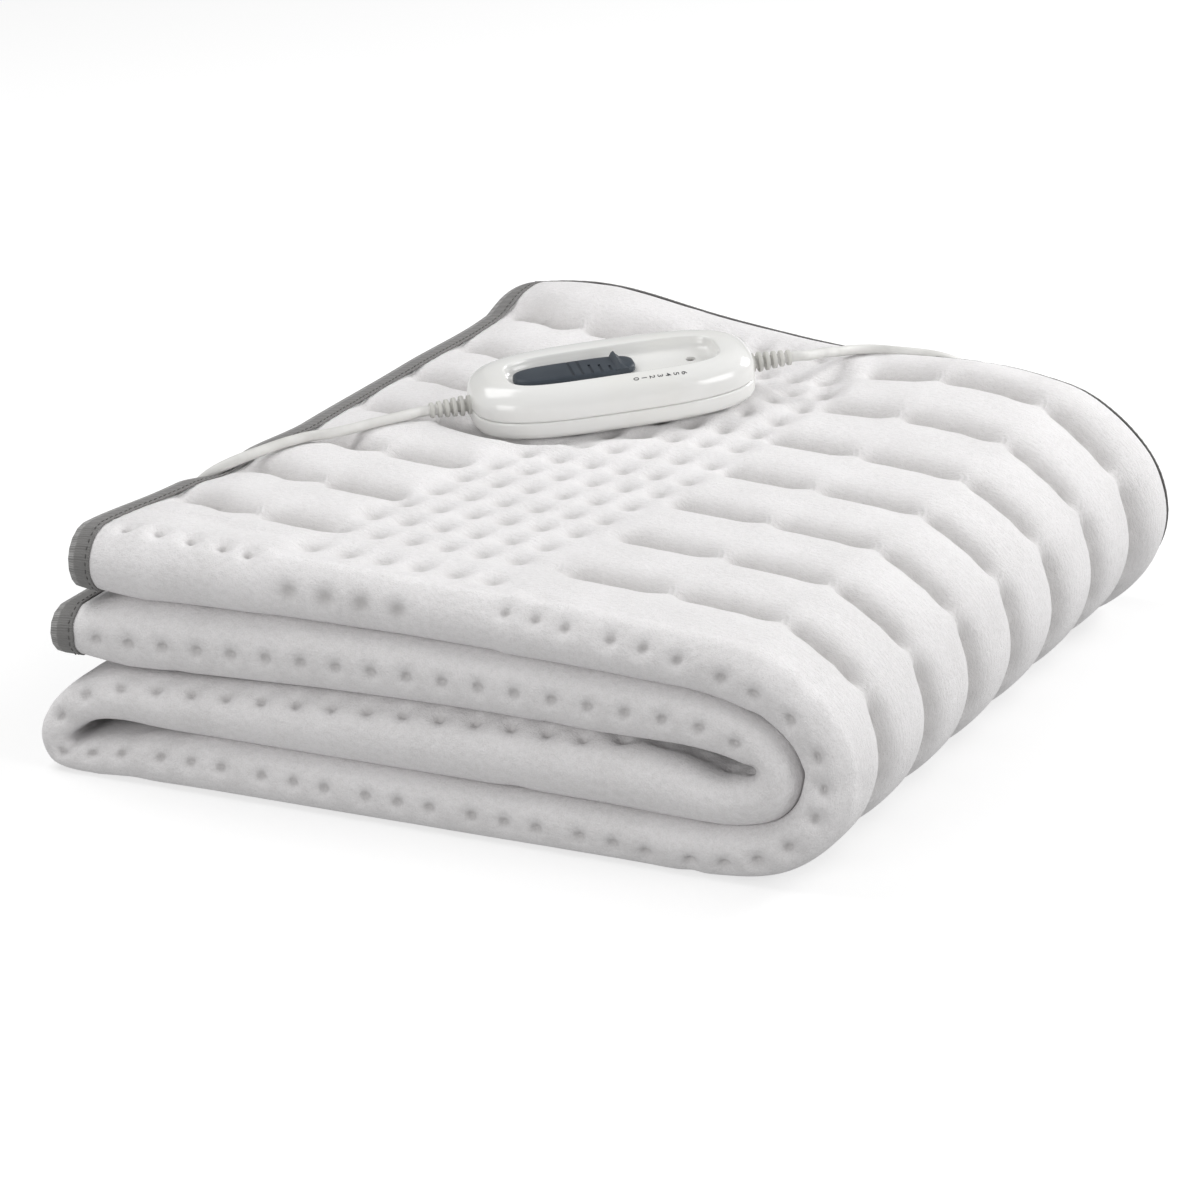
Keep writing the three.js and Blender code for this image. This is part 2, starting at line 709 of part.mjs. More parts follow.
function makeReliefAt(end) {
  const relief = makeRelief();
  if (end < 0) relief.rotateZ(Math.PI);
  return ontoBlanket(relief.translate(end * (handsetLength / 2 + fittingGap), 0, reliefHeight));
}

// Round lead swept along a route
function makeLead(points) {
  const path = new THREE.CatmullRomCurve3(points, false, 'centripetal');
  const section = new THREE.Shape();
  for (let i = 0; i < leadSides; i += 1) {
    const angle = ((i + 0.5) / leadSides) * 2 * Math.PI;
    const x = leadRadius * Math.cos(angle);
    const y = leadRadius * Math.sin(angle);
    if (i === 0) section.moveTo(x, y);
    else section.lineTo(x, y);
  }
  section.closePath();
  const steps = Math.round(path.getLength() / leadStep);
  return new THREE.ExtrudeGeometry(section, { steps, extrudePath: path, bevelEnabled: false });
}

function fromRoute(route) {
  return route.map((spot) => new THREE.Vector3(spot.x - centreX, spot.y - centreY, spot.z));
}

function makeInlet() {
  const { length, width, height, radius, bevel } = inlet;
  const w = width / 2 - bevel;
  const l = length / 2 - bevel;
  const outline = new THREE.Shape();
  outline.moveTo(-w, -l + radius);
  outline.lineTo(-w, l - radius);
  outline.quadraticCurveTo(-w, l, -w + radius, l);
  outline.lineTo(w - radius, l);
  outline.quadraticCurveTo(w, l, w, l - radius);
  outline.lineTo(w, -l + radius);
  outline.quadraticCurveTo(w, -l, w - radius, -l);
  outline.lineTo(-w + radius, -l);
  outline.quadraticCurveTo(-w, -l, -w, -l + radius);
  const options = { depth: height - 2 * bevel, bevelThickness: bevel, bevelSize: bevel, bevelSegments: 2 };
  const body = new THREE.ExtrudeGeometry(outline, { ...options, curveSegments: 4 });
  return body.translate(inlet.x - centreX, inlet.y - centreY, inlet.z + bevel);
}

const coilHalfWidth = ((coil.turnsWide - 1) * coil.pitch) / 2 + leadRadius;
const coilHeight = (coil.turnsHigh - 1) * coil.pitch + 2 * leadRadius;
const coilOuterRadius = coil.radius + coilHalfWidth;

// Closed ring section with its corners cut, turned round the upright axis
function makeCoil() {
  const inner = coil.radius - coilHalfWidth;
  const section = [
    new THREE.Vector2(inner + coilCorner, 0),
    new THREE.Vector2(coilOuterRadius - coilCorner, 0),
    new THREE.Vector2(coilOuterRadius, coilCorner),
    new THREE.Vector2(coilOuterRadius, coilHeight - coilCorner),
    new THREE.Vector2(coilOuterRadius - coilCorner, coilHeight),
    new THREE.Vector2(inner + coilCorner, coilHeight),
    new THREE.Vector2(inner, coilHeight - coilCorner),
    new THREE.Vector2(inner, coilCorner),
    new THREE.Vector2(inner + coilCorner, 0),
  ];
  const ring = sealed(new THREE.LatheGeometry(section, coilSides)).rotateX(Math.PI / 2);
  return ring.translate(coil.x - centreX, coil.y - centreY, coil.base);
}

// Strap round the ring's section, on its left
function makeTie() {
  const half = coilHalfWidth + tieSideGap;
  const low = coil.base - tieGap;
  const high = coil.base + coilHeight + tieGap;
  const outline = new THREE.Shape();
  outline.moveTo(-half - tieThickness, low - tieThickness);
  outline.lineTo(half + tieThickness, low - tieThickness);
  outline.lineTo(half + tieThickness, high + tieThickness);
  outline.lineTo(-half - tieThickness, high + tieThickness);
  outline.closePath();
  const opening = new THREE.Path();
  opening.moveTo(-half, low);
  opening.lineTo(-half, high);
  opening.lineTo(half, high);
  opening.lineTo(half, low);
  opening.closePath();
  outline.holes.push(opening);
  const strap = new THREE.ExtrudeGeometry(outline, { depth: tieWidth, bevelEnabled: false });
  strap.rotateX(Math.PI / 2);
  return strap.translate(coil.x - coil.radius - centreX, coil.y + tieWidth / 2 - centreY, 0);
}

// Plug in its own frame: x out along its pins from the tip of its tail, z up from its axis
function besideCoil(geometry) {
  const y = coil.y + coilOuterRadius + fittingGap + leadRadius + 1.3;
  return geometry.translate(coil.x + 2 - centreX, y - centreY, plugAxisHeight);
}

function makePlugBody() {
  const { length, width, waist, height, bevel } = plugBody;
  const w = width / 2 - bevel;
  const n = waist / 2 - bevel;
  const tip = leadRadius + 1 - bevel;
  const front = plugTail + length - bevel;
  const outline = new THREE.Shape();
  outline.moveTo(bevel, -tip);
  outline.lineTo(plugTail, -n);
  outline.quadraticCurveTo(plugTail + length * 0.35, -n, plugTail + length * 0.55, -w);
  outline.lineTo(front, -w);
  outline.lineTo(front, w);
  outline.lineTo(plugTail + length * 0.55, w);
  outline.quadraticCurveTo(plugTail + length * 0.35, n, plugTail, n);
  outline.lineTo(bevel, tip);
  outline.closePath();
  const options = { depth: height - 2 * bevel, bevelThickness: bevel, bevelSize: bevel, bevelSegments: 3 };
  const body = new THREE.ExtrudeGeometry(outline, { ...options, curveSegments: 5 });
  return besideCoil(body.translate(0, 0, -height / 2 + bevel));
}

function makePin(side) {
  const pin = new THREE.CylinderGeometry(pinRadius, pinRadius, pinLength, pinSides);
  pin.rotateZ(Math.PI / 2);
  const x = plugTail + plugBody.length + fittingGap + pinLength / 2;
  return besideCoil(pin.translate(x, (side * pinSpacing) / 2, 0));
}

const inletMouth = new THREE.Vector3(
  inlet.x - centreX,
  inlet.y - inlet.length / 2 - 1.5 * fittingGap - centreY,
  inlet.z + inlet.height / 2,
);
const coilMouth = new THREE.Vector3(
  coil.x - centreX,
  coil.y - coilOuterRadius - fittingGap - leadRadius - centreY,
  coil.base + leadRadius,
);

addPiece('blanket', makeBlanket(), fleece);
addPiece('edge_binding', makeBinding(), tape);
addPiece('lead_inlet', makeInlet(), shell);
addPiece('handset_base', ontoBlanket(makeHandsetBase()), shell);
addPiece('handset_top', ontoBlanket(makeHandsetTop()), shell);
addPiece('heat_slider', ontoBlanket(makeSlider()), slate);
addPiece('pilot_lamp', ontoBlanket(makeLamp()), lens);
addPiece('strain_relief_blanket', makeReliefAt(-1), cordSkin);
addPiece('strain_relief_mains', makeReliefAt(1), cordSkin);
addPiece('blanket_lead', makeLead([...reliefTip(-1), ...fromRoute(blanketLeadRoute), inletMouth]), cordSkin);
addPiece('mains_lead', makeLead([...reliefTip(1), ...fromRoute(mainsLeadRoute), coilMouth]), cordSkin);
addPiece('mains_coil', makeCoil(), cordSkin);
addPiece('coil_tie', makeTie(), slate);
addPiece('plug_body', makePlugBody(), cordSkin);
addPiece('plug_pin_1', makePin(-1), plated);
addPiece('plug_pin_2', makePin(1), plated);

export default underblanket;
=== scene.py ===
"""Folded electric underblanket with its slide controller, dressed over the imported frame.

Sizes are in millimetres while a piece is made and in metres once it is placed. Tables count x
from the leftmost fold, y from the front face and z from the floor.
"""

import logging
import math
from dataclasses import dataclass, field
from enum import Enum
from typing import Iterable, Sequence

import bmesh
import bpy
import numpy as np
from mathutils import Euler, Matrix, Vector
from mathutils.bvhtree import BVHTree
from mathutils.kdtree import KDTree


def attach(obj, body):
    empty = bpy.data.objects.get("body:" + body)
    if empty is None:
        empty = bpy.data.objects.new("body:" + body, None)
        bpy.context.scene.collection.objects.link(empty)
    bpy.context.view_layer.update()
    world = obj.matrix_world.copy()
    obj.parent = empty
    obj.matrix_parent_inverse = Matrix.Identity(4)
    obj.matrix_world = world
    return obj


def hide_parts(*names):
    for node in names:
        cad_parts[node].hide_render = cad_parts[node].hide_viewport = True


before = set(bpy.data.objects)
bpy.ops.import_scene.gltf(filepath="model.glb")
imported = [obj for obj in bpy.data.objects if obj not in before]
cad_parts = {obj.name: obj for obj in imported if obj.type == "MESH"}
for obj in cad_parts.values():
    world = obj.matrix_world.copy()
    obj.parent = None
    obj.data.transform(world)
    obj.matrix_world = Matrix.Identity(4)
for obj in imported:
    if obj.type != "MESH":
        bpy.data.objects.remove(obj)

log = logging.getLogger("underblanket")

MM = 0.001
TURN = 2 * math.pi
CENTRE_X = 199.88
CENTRE_Y = 209.83
Point = tuple[float, float, float]
Spot = tuple[float, float]


class Body(Enum):
    """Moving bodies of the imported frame."""

    BLANKET = "underblanket"
    SLIDER = "slider"


class Slot(Enum):
    """Material slots of the record."""

    FLEECE = "fleece"
    TAPE = "tape"
    SHELL = "shell"
    SLATE = "slate"
    LENS = "lens"
    CORD = "cord_skin"


# Shader sums


class Value:
    """A number socket that can be used in sums."""

    def __init__(self, graph: "Graph", socket: bpy.types.NodeSocket) -> None:
        """Wraps an output socket of a graph."""
        self.graph = graph
        self.socket = socket

    def maths(self, operation: str, *others: "Value | float", swap: bool = False) -> "Value":
        """Adds one Math node.

        Args:
            operation: the node's operation.
            others: the other operands, numbers or values.
            swap: puts the first of the others before this one.

        Returns:
            The node's result.
        """
        terms = [self, *others]
        if swap:
            terms[0], terms[1] = terms[1], terms[0]
        made = self.graph.node("Math", {"operation": operation}, dict(enumerate(terms)))
        return Value(self.graph, made.outputs[0])

    def __add__(self, other: "Value | float") -> "Value":
        """This plus other."""
        return self.maths("ADD", other)

    def __sub__(self, other: "Value | float") -> "Value":
        """This minus other."""
        return self.maths("SUBTRACT", other)

    def __rsub__(self, other: float) -> "Value":
        """Other minus this."""
        return self.maths("SUBTRACT", other, swap=True)

    def __mul__(self, other: "Value | float") -> "Value":
        """This times other."""
        return self.maths("MULTIPLY", other)

    def __pow__(self, other: float) -> "Value":
        """This raised to a power."""
        return self.maths("POWER", other)

    __radd__ = __add__
    __rmul__ = __mul__

    def sine(self) -> "Value":
        """Sine of this angle in radians."""
        return self.maths("SINE")

    def wave(self, pitch: float) -> "Value":
        """A wave from 0 to 1 over every pitch of this distance."""
        return (self * (TURN / pitch)).sine() * 0.5 + 0.5

    def away(self) -> "Value":
        """This without its sign."""
        return self.maths("ABSOLUTE")

    def ramp(self, low: float, high: float) -> "Value":
        """0 below low, 1 above high, smooth between."""
        made = self.graph.node("MapRange", {"interpolation_type": "SMOOTHSTEP"}, {0: self, 1: low, 2: high})
        return Value(self.graph, made.outputs[0])


class Graph:
    """The node tree of one material, with its main shader."""

    def __init__(self, name: str) -> None:
        """Starts a material with a plain shader.

        Args:
            name: the material's name.
        """
        self.material = bpy.data.materials.new(name)
        self.material.use_nodes = True
        self.tree = self.material.node_tree
        self.shader = self.tree.nodes["Principled BSDF"]

    def node(self, kind: str, settings: dict[str, object], inputs: dict[object, object]) -> bpy.types.Node:
        """Adds a node.

        Args:
            kind: the node's type, without its ShaderNode prefix.
            settings: properties set before the sockets.
            inputs: numbers, values or output sockets, by socket name or number.

        Returns:
            The node.
        """
        made = self.tree.nodes.new("ShaderNode" + kind)
        for key, value in settings.items():
            setattr(made, key, value)
        for key, value in inputs.items():
            if isinstance(value, Value):
                value = value.socket
            if isinstance(value, bpy.types.NodeSocket):
                self.tree.links.new(value, made.inputs[key])
            else:
                made.inputs[key].default_value = value
        return made

    def place(self, scale: Sequence[float] = (1, 1, 1), layer: str = "") -> bpy.types.NodeSocket:
        """Coordinates to lay a pattern on.

        Args:
            scale: what they are multiplied by.
            layer: a UV layer to read, or nothing for Object coordinates.

        Returns:
            The coordinates' socket.
        """
        if layer:
            source = self.node("UVMap", {"uv_map": layer}, {}).outputs[0]
        else:
            source = self.node("TexCoord", {}, {}).outputs["Object"]
        return self.node("Mapping", {}, {"Vector": source, "Scale": scale}).outputs[0]

    def attribute(self, name: str) -> Value:
        """A number kept on the mesh's points."""
        return Value(self, self.node("Attribute", {"attribute_name": name}, {}).outputs["Fac"])

    def noise(
        self, vector: bpy.types.NodeSocket, scale: float, detail: float = 3.0, rough: float = 0.5
    ) -> Value:
        """Cloudy noise from 0 to 1."""
        inputs = {"Vector": vector, "Scale": scale, "Detail": detail, "Roughness": rough}
        return Value(self, self.node("TexNoise", {}, inputs).outputs[0])

    def part(self, vector: bpy.types.NodeSocket, axis: int) -> Value:
        """One component of a vector."""
        return Value(self, self.node("SeparateXYZ", {}, {0: vector}).outputs[axis])

    def mix(
        self, share: Value, low: "Point | bpy.types.NodeSocket", high: "Point | bpy.types.NodeSocket"
    ) -> bpy.types.NodeSocket:
        """Blends two colours.

        Args:
            share: how much of the second there is.
            low: the first colour, or its socket.
            high: the second colour, or its socket.

        Returns:
            The blend's socket.
        """
        colours = [(*c, 1.0) if isinstance(c, tuple) else c for c in (low, high)]
        return self.node("Mix", {"data_type": "RGBA"}, {0: share, 6: colours[0], 7: colours[1]}).outputs[2]

    def connect(self, name: str, source: "Value | bpy.types.NodeSocket") -> None:
        """Feeds one of the main shader's sockets."""
        socket = source.socket if isinstance(source, Value) else source
        self.tree.links.new(socket, self.shader.inputs[name])

    def relief(self, height: Value, distance: float, strength: float = 1.0) -> None:
        """Bumps the surface by a height from 0 to 1 times a distance in metres."""
        made = self.node("Bump", {}, {"Strength": strength, "Distance": distance, "Height": height})
        self.connect("Normal", made.outputs[0])

    def fix(self, **sockets: float) -> None:
        """Sets constants on the main shader, with spaces as underscores."""
        for key, value in sockets.items():
            self.shader.inputs[key.replace("_", " ")].default_value = value


# Finishes, whose noise fields hold a scale, a detail and a roughness


@dataclass(frozen=True)
class Finish:
    """A material that each kind of finish dresses in its own way."""

    name: str

    def build(self) -> bpy.types.Material:
        """Builds the material.

        Returns:
            The material.
        """
        graph = Graph(self.name)
        self.dress(graph)
        return graph.material

    def dress(self, graph: Graph) -> None:
        """Lays the finish over a graph's shader."""
        raise NotImplementedError


@dataclass(frozen=True)
class FleeceFinish(Finish):
    """Short brushed pile, a little greyer down in the welds, from pressed pile and painted shade."""

    name: str = "brushed fleece"
    lit: Point = (0.87, 0.855, 0.86)
    shade: Point = (0.74, 0.725, 0.725)
    # weld colour: painted shade in the weld valleys and dot bottoms, with their pressed pile
    weld: Point = (0.47, 0.455, 0.445)
    brushing: Point = (1.0, 2.1, 1.0)
    clouds: tuple = (34, 4)
    tufts: tuple = (330, 3, 0.62)
    fibres: tuple = (1250, 2, 0.7)
    pile: float = 0.0014
    dot_dip: float = 0.62
    dot_fray: tuple = (300, 3)
    wrinkle_height: float = 0.2
    wrinkle_pitch: float = 3.1
    wrinkle_bow: float = 0.07
    wrinkle_wander: tuple = (90, 2)

    def dress(self, graph: Graph) -> None:
        """Lays the pile, pressed flat in the welds, which with the dot bottoms are darkened by painted
        shade.

        Args:
            graph: the material's graph.
        """
        flat = graph.place(layer="flat")
        brushed = graph.place(scale=self.brushing, layer="flat")
        cloud = graph.noise(flat, *self.clouds)
        tufts = graph.noise(brushed, *self.tufts)
        fibres = graph.noise(brushed, *self.fibres)
        weld = graph.attribute("weld")
        spot = self.spot(graph)
        light = (cloud * 0.25 + tufts * 0.35 + fibres * 0.4).ramp(0.34, 0.62)
        mottled = graph.mix(light, self.shade, self.lit)
        # worn holds painted shade: welds and dot bottoms darkened for the shade of their hollows, partly for
        # pressed pile
        worn = (weld * 0.95).maths("MAXIMUM", spot * 0.2)
        graph.connect("Base Color", graph.mix(worn, mottled, self.weld))
        graph.connect("Roughness", 0.97 - weld * 0.12)
        pile = (tufts * 0.6 + fibres * 0.4) * (1 - weld * 0.5) * (1 - spot * 0.5)
        height = pile - spot * self.dot_dip + self.wrinkles(graph) * self.wrinkle_height
        graph.relief(height, self.pile, 0.8)
        graph.fix(Sheen_Weight=0.22, Sheen_Roughness=0.6, Specular_IOR_Level=0.2)

    def spot(self, graph: Graph) -> Value:
        """The flat bottoms of the weld dots.

        Args:
            graph: the material's graph.

        Returns:
            1 on a dot's bottom, 0 off it.
        """
        around = graph.place(layer="around_dot")
        across = graph.part(around, 1)
        along = graph.part(around, 0)
        off = (along * along + across * across) ** 0.5
        fray = graph.noise(graph.place(layer="flat"), *self.dot_fray) * 0.3
        return 1 - (off + fray).ramp(0.18, 0.98)

    def wrinkles(self, graph: Graph) -> Value:
        """Short bowed wrinkles where two groups of dots part.

        Args:
            graph: the material's graph.

        Returns:
            Their height, from -1 to 1.
        """
        around = graph.place(layer="around_gap")
        across = graph.part(around, 1)
        along = graph.part(around, 0)
        wander = graph.noise(graph.place(layer="flat"), *self.wrinkle_wander) * 1.6
        bowed = along + wander - 0.8 + across * across * self.wrinkle_bow
        fade = (1 - bowed.away().ramp(0.8, 3.6)) * (1 - across.away().ramp(2.0, 8.0))
        return (bowed * (TURN / self.wrinkle_pitch)).sine() * fade


@dataclass(frozen=True)
class TapeFinish(Finish):
    """Ribbed woven tape, gathered a little by its stitches."""

    name: str = "woven tape"
    light: Point = (0.42, 0.415, 0.41)
    # dark: the weave's darker tone, and painted shade along the lip and in the gathers
    dark: Point = (0.2, 0.196, 0.192)
    rib: float = 0.0011
    thread: float = 0.0006
    gather: float = 0.0047
    wander: float = 0.0012
    lip: float = 0.0108
    lip_width: float = 0.0012
    depth: float = 0.0006

    def dress(self, graph: Graph) -> None:
        """Lays the weave, darker along the tape's lip with painted shade where it meets the fleece.

        Args:
            graph: the material's graph.
        """
        flat = graph.place(layer="flat")
        along = graph.part(flat, 0)
        across = graph.part(flat, 1)
        wander = graph.noise(flat, 60, 2) * self.wander
        ribs = (along + wander).wave(self.rib)
        threads = across.wave(self.thread)
        cloud = graph.noise(flat, 95, 4)
        gather = (along + wander * 2.0).wave(self.gather)
        weave = ribs * 0.6 + threads * ribs * 0.4
        # worn frays the edge of the painted shade along the tape's lip; lip is that painted shade
        worn = graph.noise(flat, 420, 3) * self.wander
        lip = (across.away() + worn).ramp(self.lip, self.lip + self.lip_width)
        # the gathers' share of the tone is painted shade of the puckers
        tone = (weave * 0.4 + cloud * 0.5 + gather * 0.25).ramp(0.15, 0.95) * (1 - lip)
        graph.connect("Base Color", graph.mix(tone, self.dark, self.light))
        graph.connect("Roughness", 0.9 - weave * 0.15)
        graph.relief(weave * 0.5 + cloud * 0.4 + gather * 0.8, self.depth, 0.8)
        graph.fix(Sheen_Weight=0.15, Specular_IOR_Level=0.3)


@dataclass(frozen=True)
class MouldedFinish(Finish):
    """Moulded plastic with a faint moulding grain and handling marks."""

    colour: Point
    worn: Point
    rough: float
    grain: float
    depth: float
    coat: float = 0.0
    shine: float = 0.5
    clouds: tuple = (38, 3)
    marks: tuple = (420, 4, 0.75)

    def dress(self, graph: Graph) -> None:
        """Lays the grain and the marks.

        Args:
            graph: the material's graph.
        """
        spot = graph.place()
        grain = graph.noise(spot, self.grain, 3, 0.6)
        patches = graph.noise(spot, *self.clouds)
        marks = graph.noise(spot, *self.marks).ramp(0.62, 0.76)
        handled = patches.ramp(0.35, 0.7) * 0.6 + marks * 0.25
        graph.connect("Base Color", graph.mix(handled, self.colour, self.worn))
        graph.connect("Roughness", self.rough + patches * 0.05 + marks * 0.08 - 0.02)
        graph.relief(grain, self.depth, 0.5)
        graph.fix(Coat_Weight=self.coat, Coat_Roughness=0.12, Specular_IOR_Level=self.shine)


@dataclass(frozen=True)
class CordFinish(Finish):
    """Soft sheath with faint bands of handling."""

    name: str = "cord sheath"
    colour: Point = (0.7, 0.695, 0.675)
    shade: Point = (0.6, 0.595, 0.575)
    clouds: tuple = (70, 3)
    grain: tuple = (900, 2)
    depth: float = 0.00012

    def dress(self, graph: Graph) -> None:
        """Lays the sheath's grain and its bands.

        Args:
            graph: the material's graph.
        """
        spot = graph.place()
        cloud = graph.noise(spot, *self.clouds)
        fine = graph.noise(spot, *self.grain)
        graph.connect("Base Color", graph.mix(cloud.ramp(0.3, 0.75), self.colour, self.shade))
        graph.connect("Roughness", 0.4 + cloud * 0.12)
        graph.relief(fine, self.depth, 0.5)
        graph.fix(Specular_IOR_Level=0.45)


@dataclass(frozen=True)
class StrapFinish(Finish):
    """Black woven hook-and-loop strap."""

    name: str = "woven strap"
    colour: Point = (0.03, 0.033, 0.037)
    light: Point = (0.075, 0.08, 0.085)
    row: float = 0.0009
    loops: tuple = (1500, 3, 0.7)
    depth: float = 0.0004

    def dress(self, graph: Graph) -> None:
        """Lays the rows and their fuzz.

        Args:
            graph: the material's graph.
        """
        spot = graph.place()
        rows = graph.part(spot, 1).wave(self.row)
        fuzz = graph.noise(spot, *self.loops)
        graph.connect("Base Color", graph.mix(rows * 0.6 + fuzz * 0.4, self.colour, self.light))
        graph.connect("Roughness", 0.85 - rows * 0.1)
        graph.relief(rows * 0.5 + fuzz * 0.5, self.depth, 0.9)
        graph.fix(Sheen_Weight=0.3)


@dataclass(frozen=True)
class PinFinish(Finish):
    """Nickel plate with light insertion scratches along the pin."""

    name: str = "nickel plate"
    colour: Point = (0.72, 0.71, 0.68)
    worn: Point = (0.6, 0.585, 0.55)
    drawn_out: Point = (0.08, 1.0, 1.0)
    scratches: tuple = (2600, 2, 0.6)
    clouds: tuple = (240, 3)
    depth: float = 0.00005

    def dress(self, graph: Graph) -> None:
        """Lays the plate and its scratches.

        Args:
            graph: the material's graph.
        """
        drawn = graph.noise(graph.place(scale=self.drawn_out), *self.scratches)
        cloud = graph.noise(graph.place(), *self.clouds)
        graph.connect("Base Color", graph.mix(cloud.ramp(0.35, 0.7), self.colour, self.worn))
        graph.connect("Roughness", 0.2 + drawn * 0.18)
        graph.relief(drawn, self.depth, 0.4)
        graph.fix(Metallic=1.0)


@dataclass(frozen=True)
class InkFinish(Finish):
    """Printed ink, slightly broken where it is rubbed."""

    name: str = "printed scale"
    ink: Point = (0.05, 0.052, 0.055)
    rubbed: Point = (0.11, 0.11, 0.11)
    specks: tuple = (2200, 3, 0.7)

    def dress(self, graph: Graph) -> None:
        """Lays the ink.

        Args:
            graph: the material's graph.
        """
        rub = graph.noise(graph.place(), *self.specks)
        graph.connect("Base Color", graph.mix(rub.ramp(0.45, 0.75), self.ink, self.rubbed))
        graph.connect("Roughness", 0.35 + rub * 0.2)


@dataclass(frozen=True)
class FloorFinish(Finish):
    """Plain pale paper sweep."""

    name: str = "pale paper"
    tone: Point = (0.5, 0.5, 0.5)
    shade: Point = (0.492, 0.492, 0.492)
    glow: float = 0.56

    def dress(self, graph: Graph) -> None:
        """Lays the paper, lit a little from within.

        Args:
            graph: the material's graph.
        """
        cloud = graph.noise(graph.place(), 3, 2)
        graph.connect("Base Color", graph.mix(cloud, self.tone, self.shade))
        graph.connect("Roughness", 0.9 - cloud * 0.05)
        graph.fix(Specular_IOR_Level=0.1, Emission_Strength=self.glow)
        graph.shader.inputs["Emission Color"].default_value = (1.0, 1.0, 1.0, 1.0)


STITCHING = MouldedFinish(
    "stitching", colour=(0.11, 0.107, 0.103), worn=(0.07, 0.07, 0.07), rough=0.75, grain=4000, depth=0.0001
)
SHELL = MouldedFinish(
    "gloss shell", colour=(0.78, 0.78, 0.765), worn=(0.77, 0.765, 0.735), rough=0.2, grain=520,
    depth=0.00003, coat=0.5,
)
SLATE = MouldedFinish(
    "slate slider", colour=(0.036, 0.045, 0.057), worn=(0.058, 0.07, 0.084), rough=0.42, grain=1300,
    depth=0.00008, shine=0.28,
)
LENS = MouldedFinish(
    "lamp lens", colour=(0.055, 0.045, 0.042), worn=(0.09, 0.07, 0.065), rough=0.16, grain=700,
    depth=0.00003, coat=0.6,
)
BOOT = MouldedFinish(
    "moulded boot", colour=(0.58, 0.575, 0.545), worn=(0.5, 0.495, 0.47), rough=0.45, grain=900,
    depth=0.00008,
)


@dataclass(frozen=True)
class Finishes:
    """Every finish, built once."""

    fleece: bpy.types.Material
    tape: bpy.types.Material
    thread: bpy.types.Material
    shell: bpy.types.Material
    slate: bpy.types.Material
    lens: bpy.types.Material
    cord: bpy.types.Material
    boot: bpy.types.Material
    strap: bpy.types.Material
    pin: bpy.types.Material
    ink: bpy.types.Material
    floor: bpy.types.Material

    @classmethod
    def build(cls) -> "Finishes":
        """Builds the whole set.

        Returns:
            The set.
        """
        finishes = (
            FleeceFinish(), TapeFinish(), STITCHING, SHELL, SLATE, LENS,
            CordFinish(), BOOT, StrapFinish(), PinFinish(), InkFinish(), FloorFinish(),
        )
        return cls(*(finish.build() for finish in finishes))


# Shape helpers


def smooth(value: np.ndarray, low: float, high: float) -> np.ndarray:
    """Smooth step from 0 at low to 1 at high."""
    share = np.clip((value - low) / (high - low), 0, 1)
    return share * share * (3 - 2 * share)


def eased(table: Sequence[Spot], at: np.ndarray) -> np.ndarray:
    """Reads a two-column table, with smooth steps between its rows.

    Args:
        table: rows of a place and its value.
        at: the places asked for.

    Returns:
        The value at each.
    """
    keys, values = np.array(table, float).T
    at = np.clip(at, keys[0], keys[-1])
    row = np.clip(np.searchsorted(keys, at, side="right") - 1, 0, len(keys) - 2)
    share = (at - keys[row]) / (keys[row + 1] - keys[row])
    return values[row] + (values[row + 1] - values[row]) * share * share * (3 - 2 * share)


def curve_points(stops: np.ndarray, at: np.ndarray) -> np.ndarray:
    """Centripetal Catmull-Rom curve through stops.

    Args:
        stops: one row for each point passed.
        at: places from 0 to 1 along it.

    Returns:
        A row for each place.
    """
    held = np.vstack([2 * stops[0] - stops[1], stops, 2 * stops[-1] - stops[-2]])
    spot = (len(stops) - 1) * np.clip(at, 0, 1)
    first = np.minimum(np.floor(spot).astype(int), len(stops) - 2)
    share = (spot - first)[:, None]
    a, b, c, d = (held[first + i] for i in range(4))
    gap = [np.maximum(((q - p) ** 2).sum(1) ** 0.25, 1e-6)[:, None] for p, q in ((a, b), (b, c), (c, d))]
    leave = ((b - a) / gap[0] - (c - a) / (gap[0] + gap[1]) + (c - b) / gap[1]) * gap[1]
    reach = ((c - b) / gap[1] - (d - b) / (gap[1] + gap[2]) + (d - c) / gap[2]) * gap[1]
    square = 3 * (c - b) - 2 * leave - reach
    cube = 2 * (b - c) + leave + reach
    return b + leave * share + square * share**2 + cube * share**3


def travelled(places: np.ndarray) -> np.ndarray:
    """Distance along a row of places to each of them."""
    return np.concatenate([[0], np.cumsum(np.linalg.norm(np.diff(places, axis=0), axis=1))])


def along_path(at: np.ndarray, run: np.ndarray, places: np.ndarray) -> np.ndarray:
    """Places at distances along a path whose points lie at the distances in run."""
    return np.stack([np.interp(at, run, column) for column in places.T], 1)


def to_row(points: np.ndarray) -> np.ndarray:
    """Table places in millimetres to the row frame in metres."""
    return (np.asarray(points, float) - (CENTRE_X, CENTRE_Y, 0)) * MM


def as_object(name: str, bm: bmesh.types.BMesh, material: bpy.types.Material) -> bpy.types.Object:
    """Turns a bmesh into a smooth object at the origin, and frees it.

    Args:
        name: the object's name.
        bm: the shape, in metres.
        material: its finish.

    Returns:
        The object.
    """
    mesh = bpy.data.meshes.new(name)
    bm.to_mesh(mesh)
    bm.free()
    mesh.materials.append(material)
    mesh.polygons.foreach_set("use_smooth", [True] * len(mesh.polygons))
    return in_scene(name, mesh)


def in_scene(name: str, data: bpy.types.ID) -> bpy.types.Object:
    """Stands a mesh, curve, lamp or camera in the scene.

    Args:
        name: the object's name.
        data: what it holds.

    Returns:
        The object.
    """
    made = bpy.data.objects.new(name, data)
    bpy.context.scene.collection.objects.link(made)
    return made


def as_mesh(piece: bpy.types.Object) -> bpy.types.Mesh:
    """The finished mesh of a piece with modifiers or text."""
    return bpy.data.meshes.new_from_object(piece.evaluated_get(bpy.context.evaluated_depsgraph_get()))


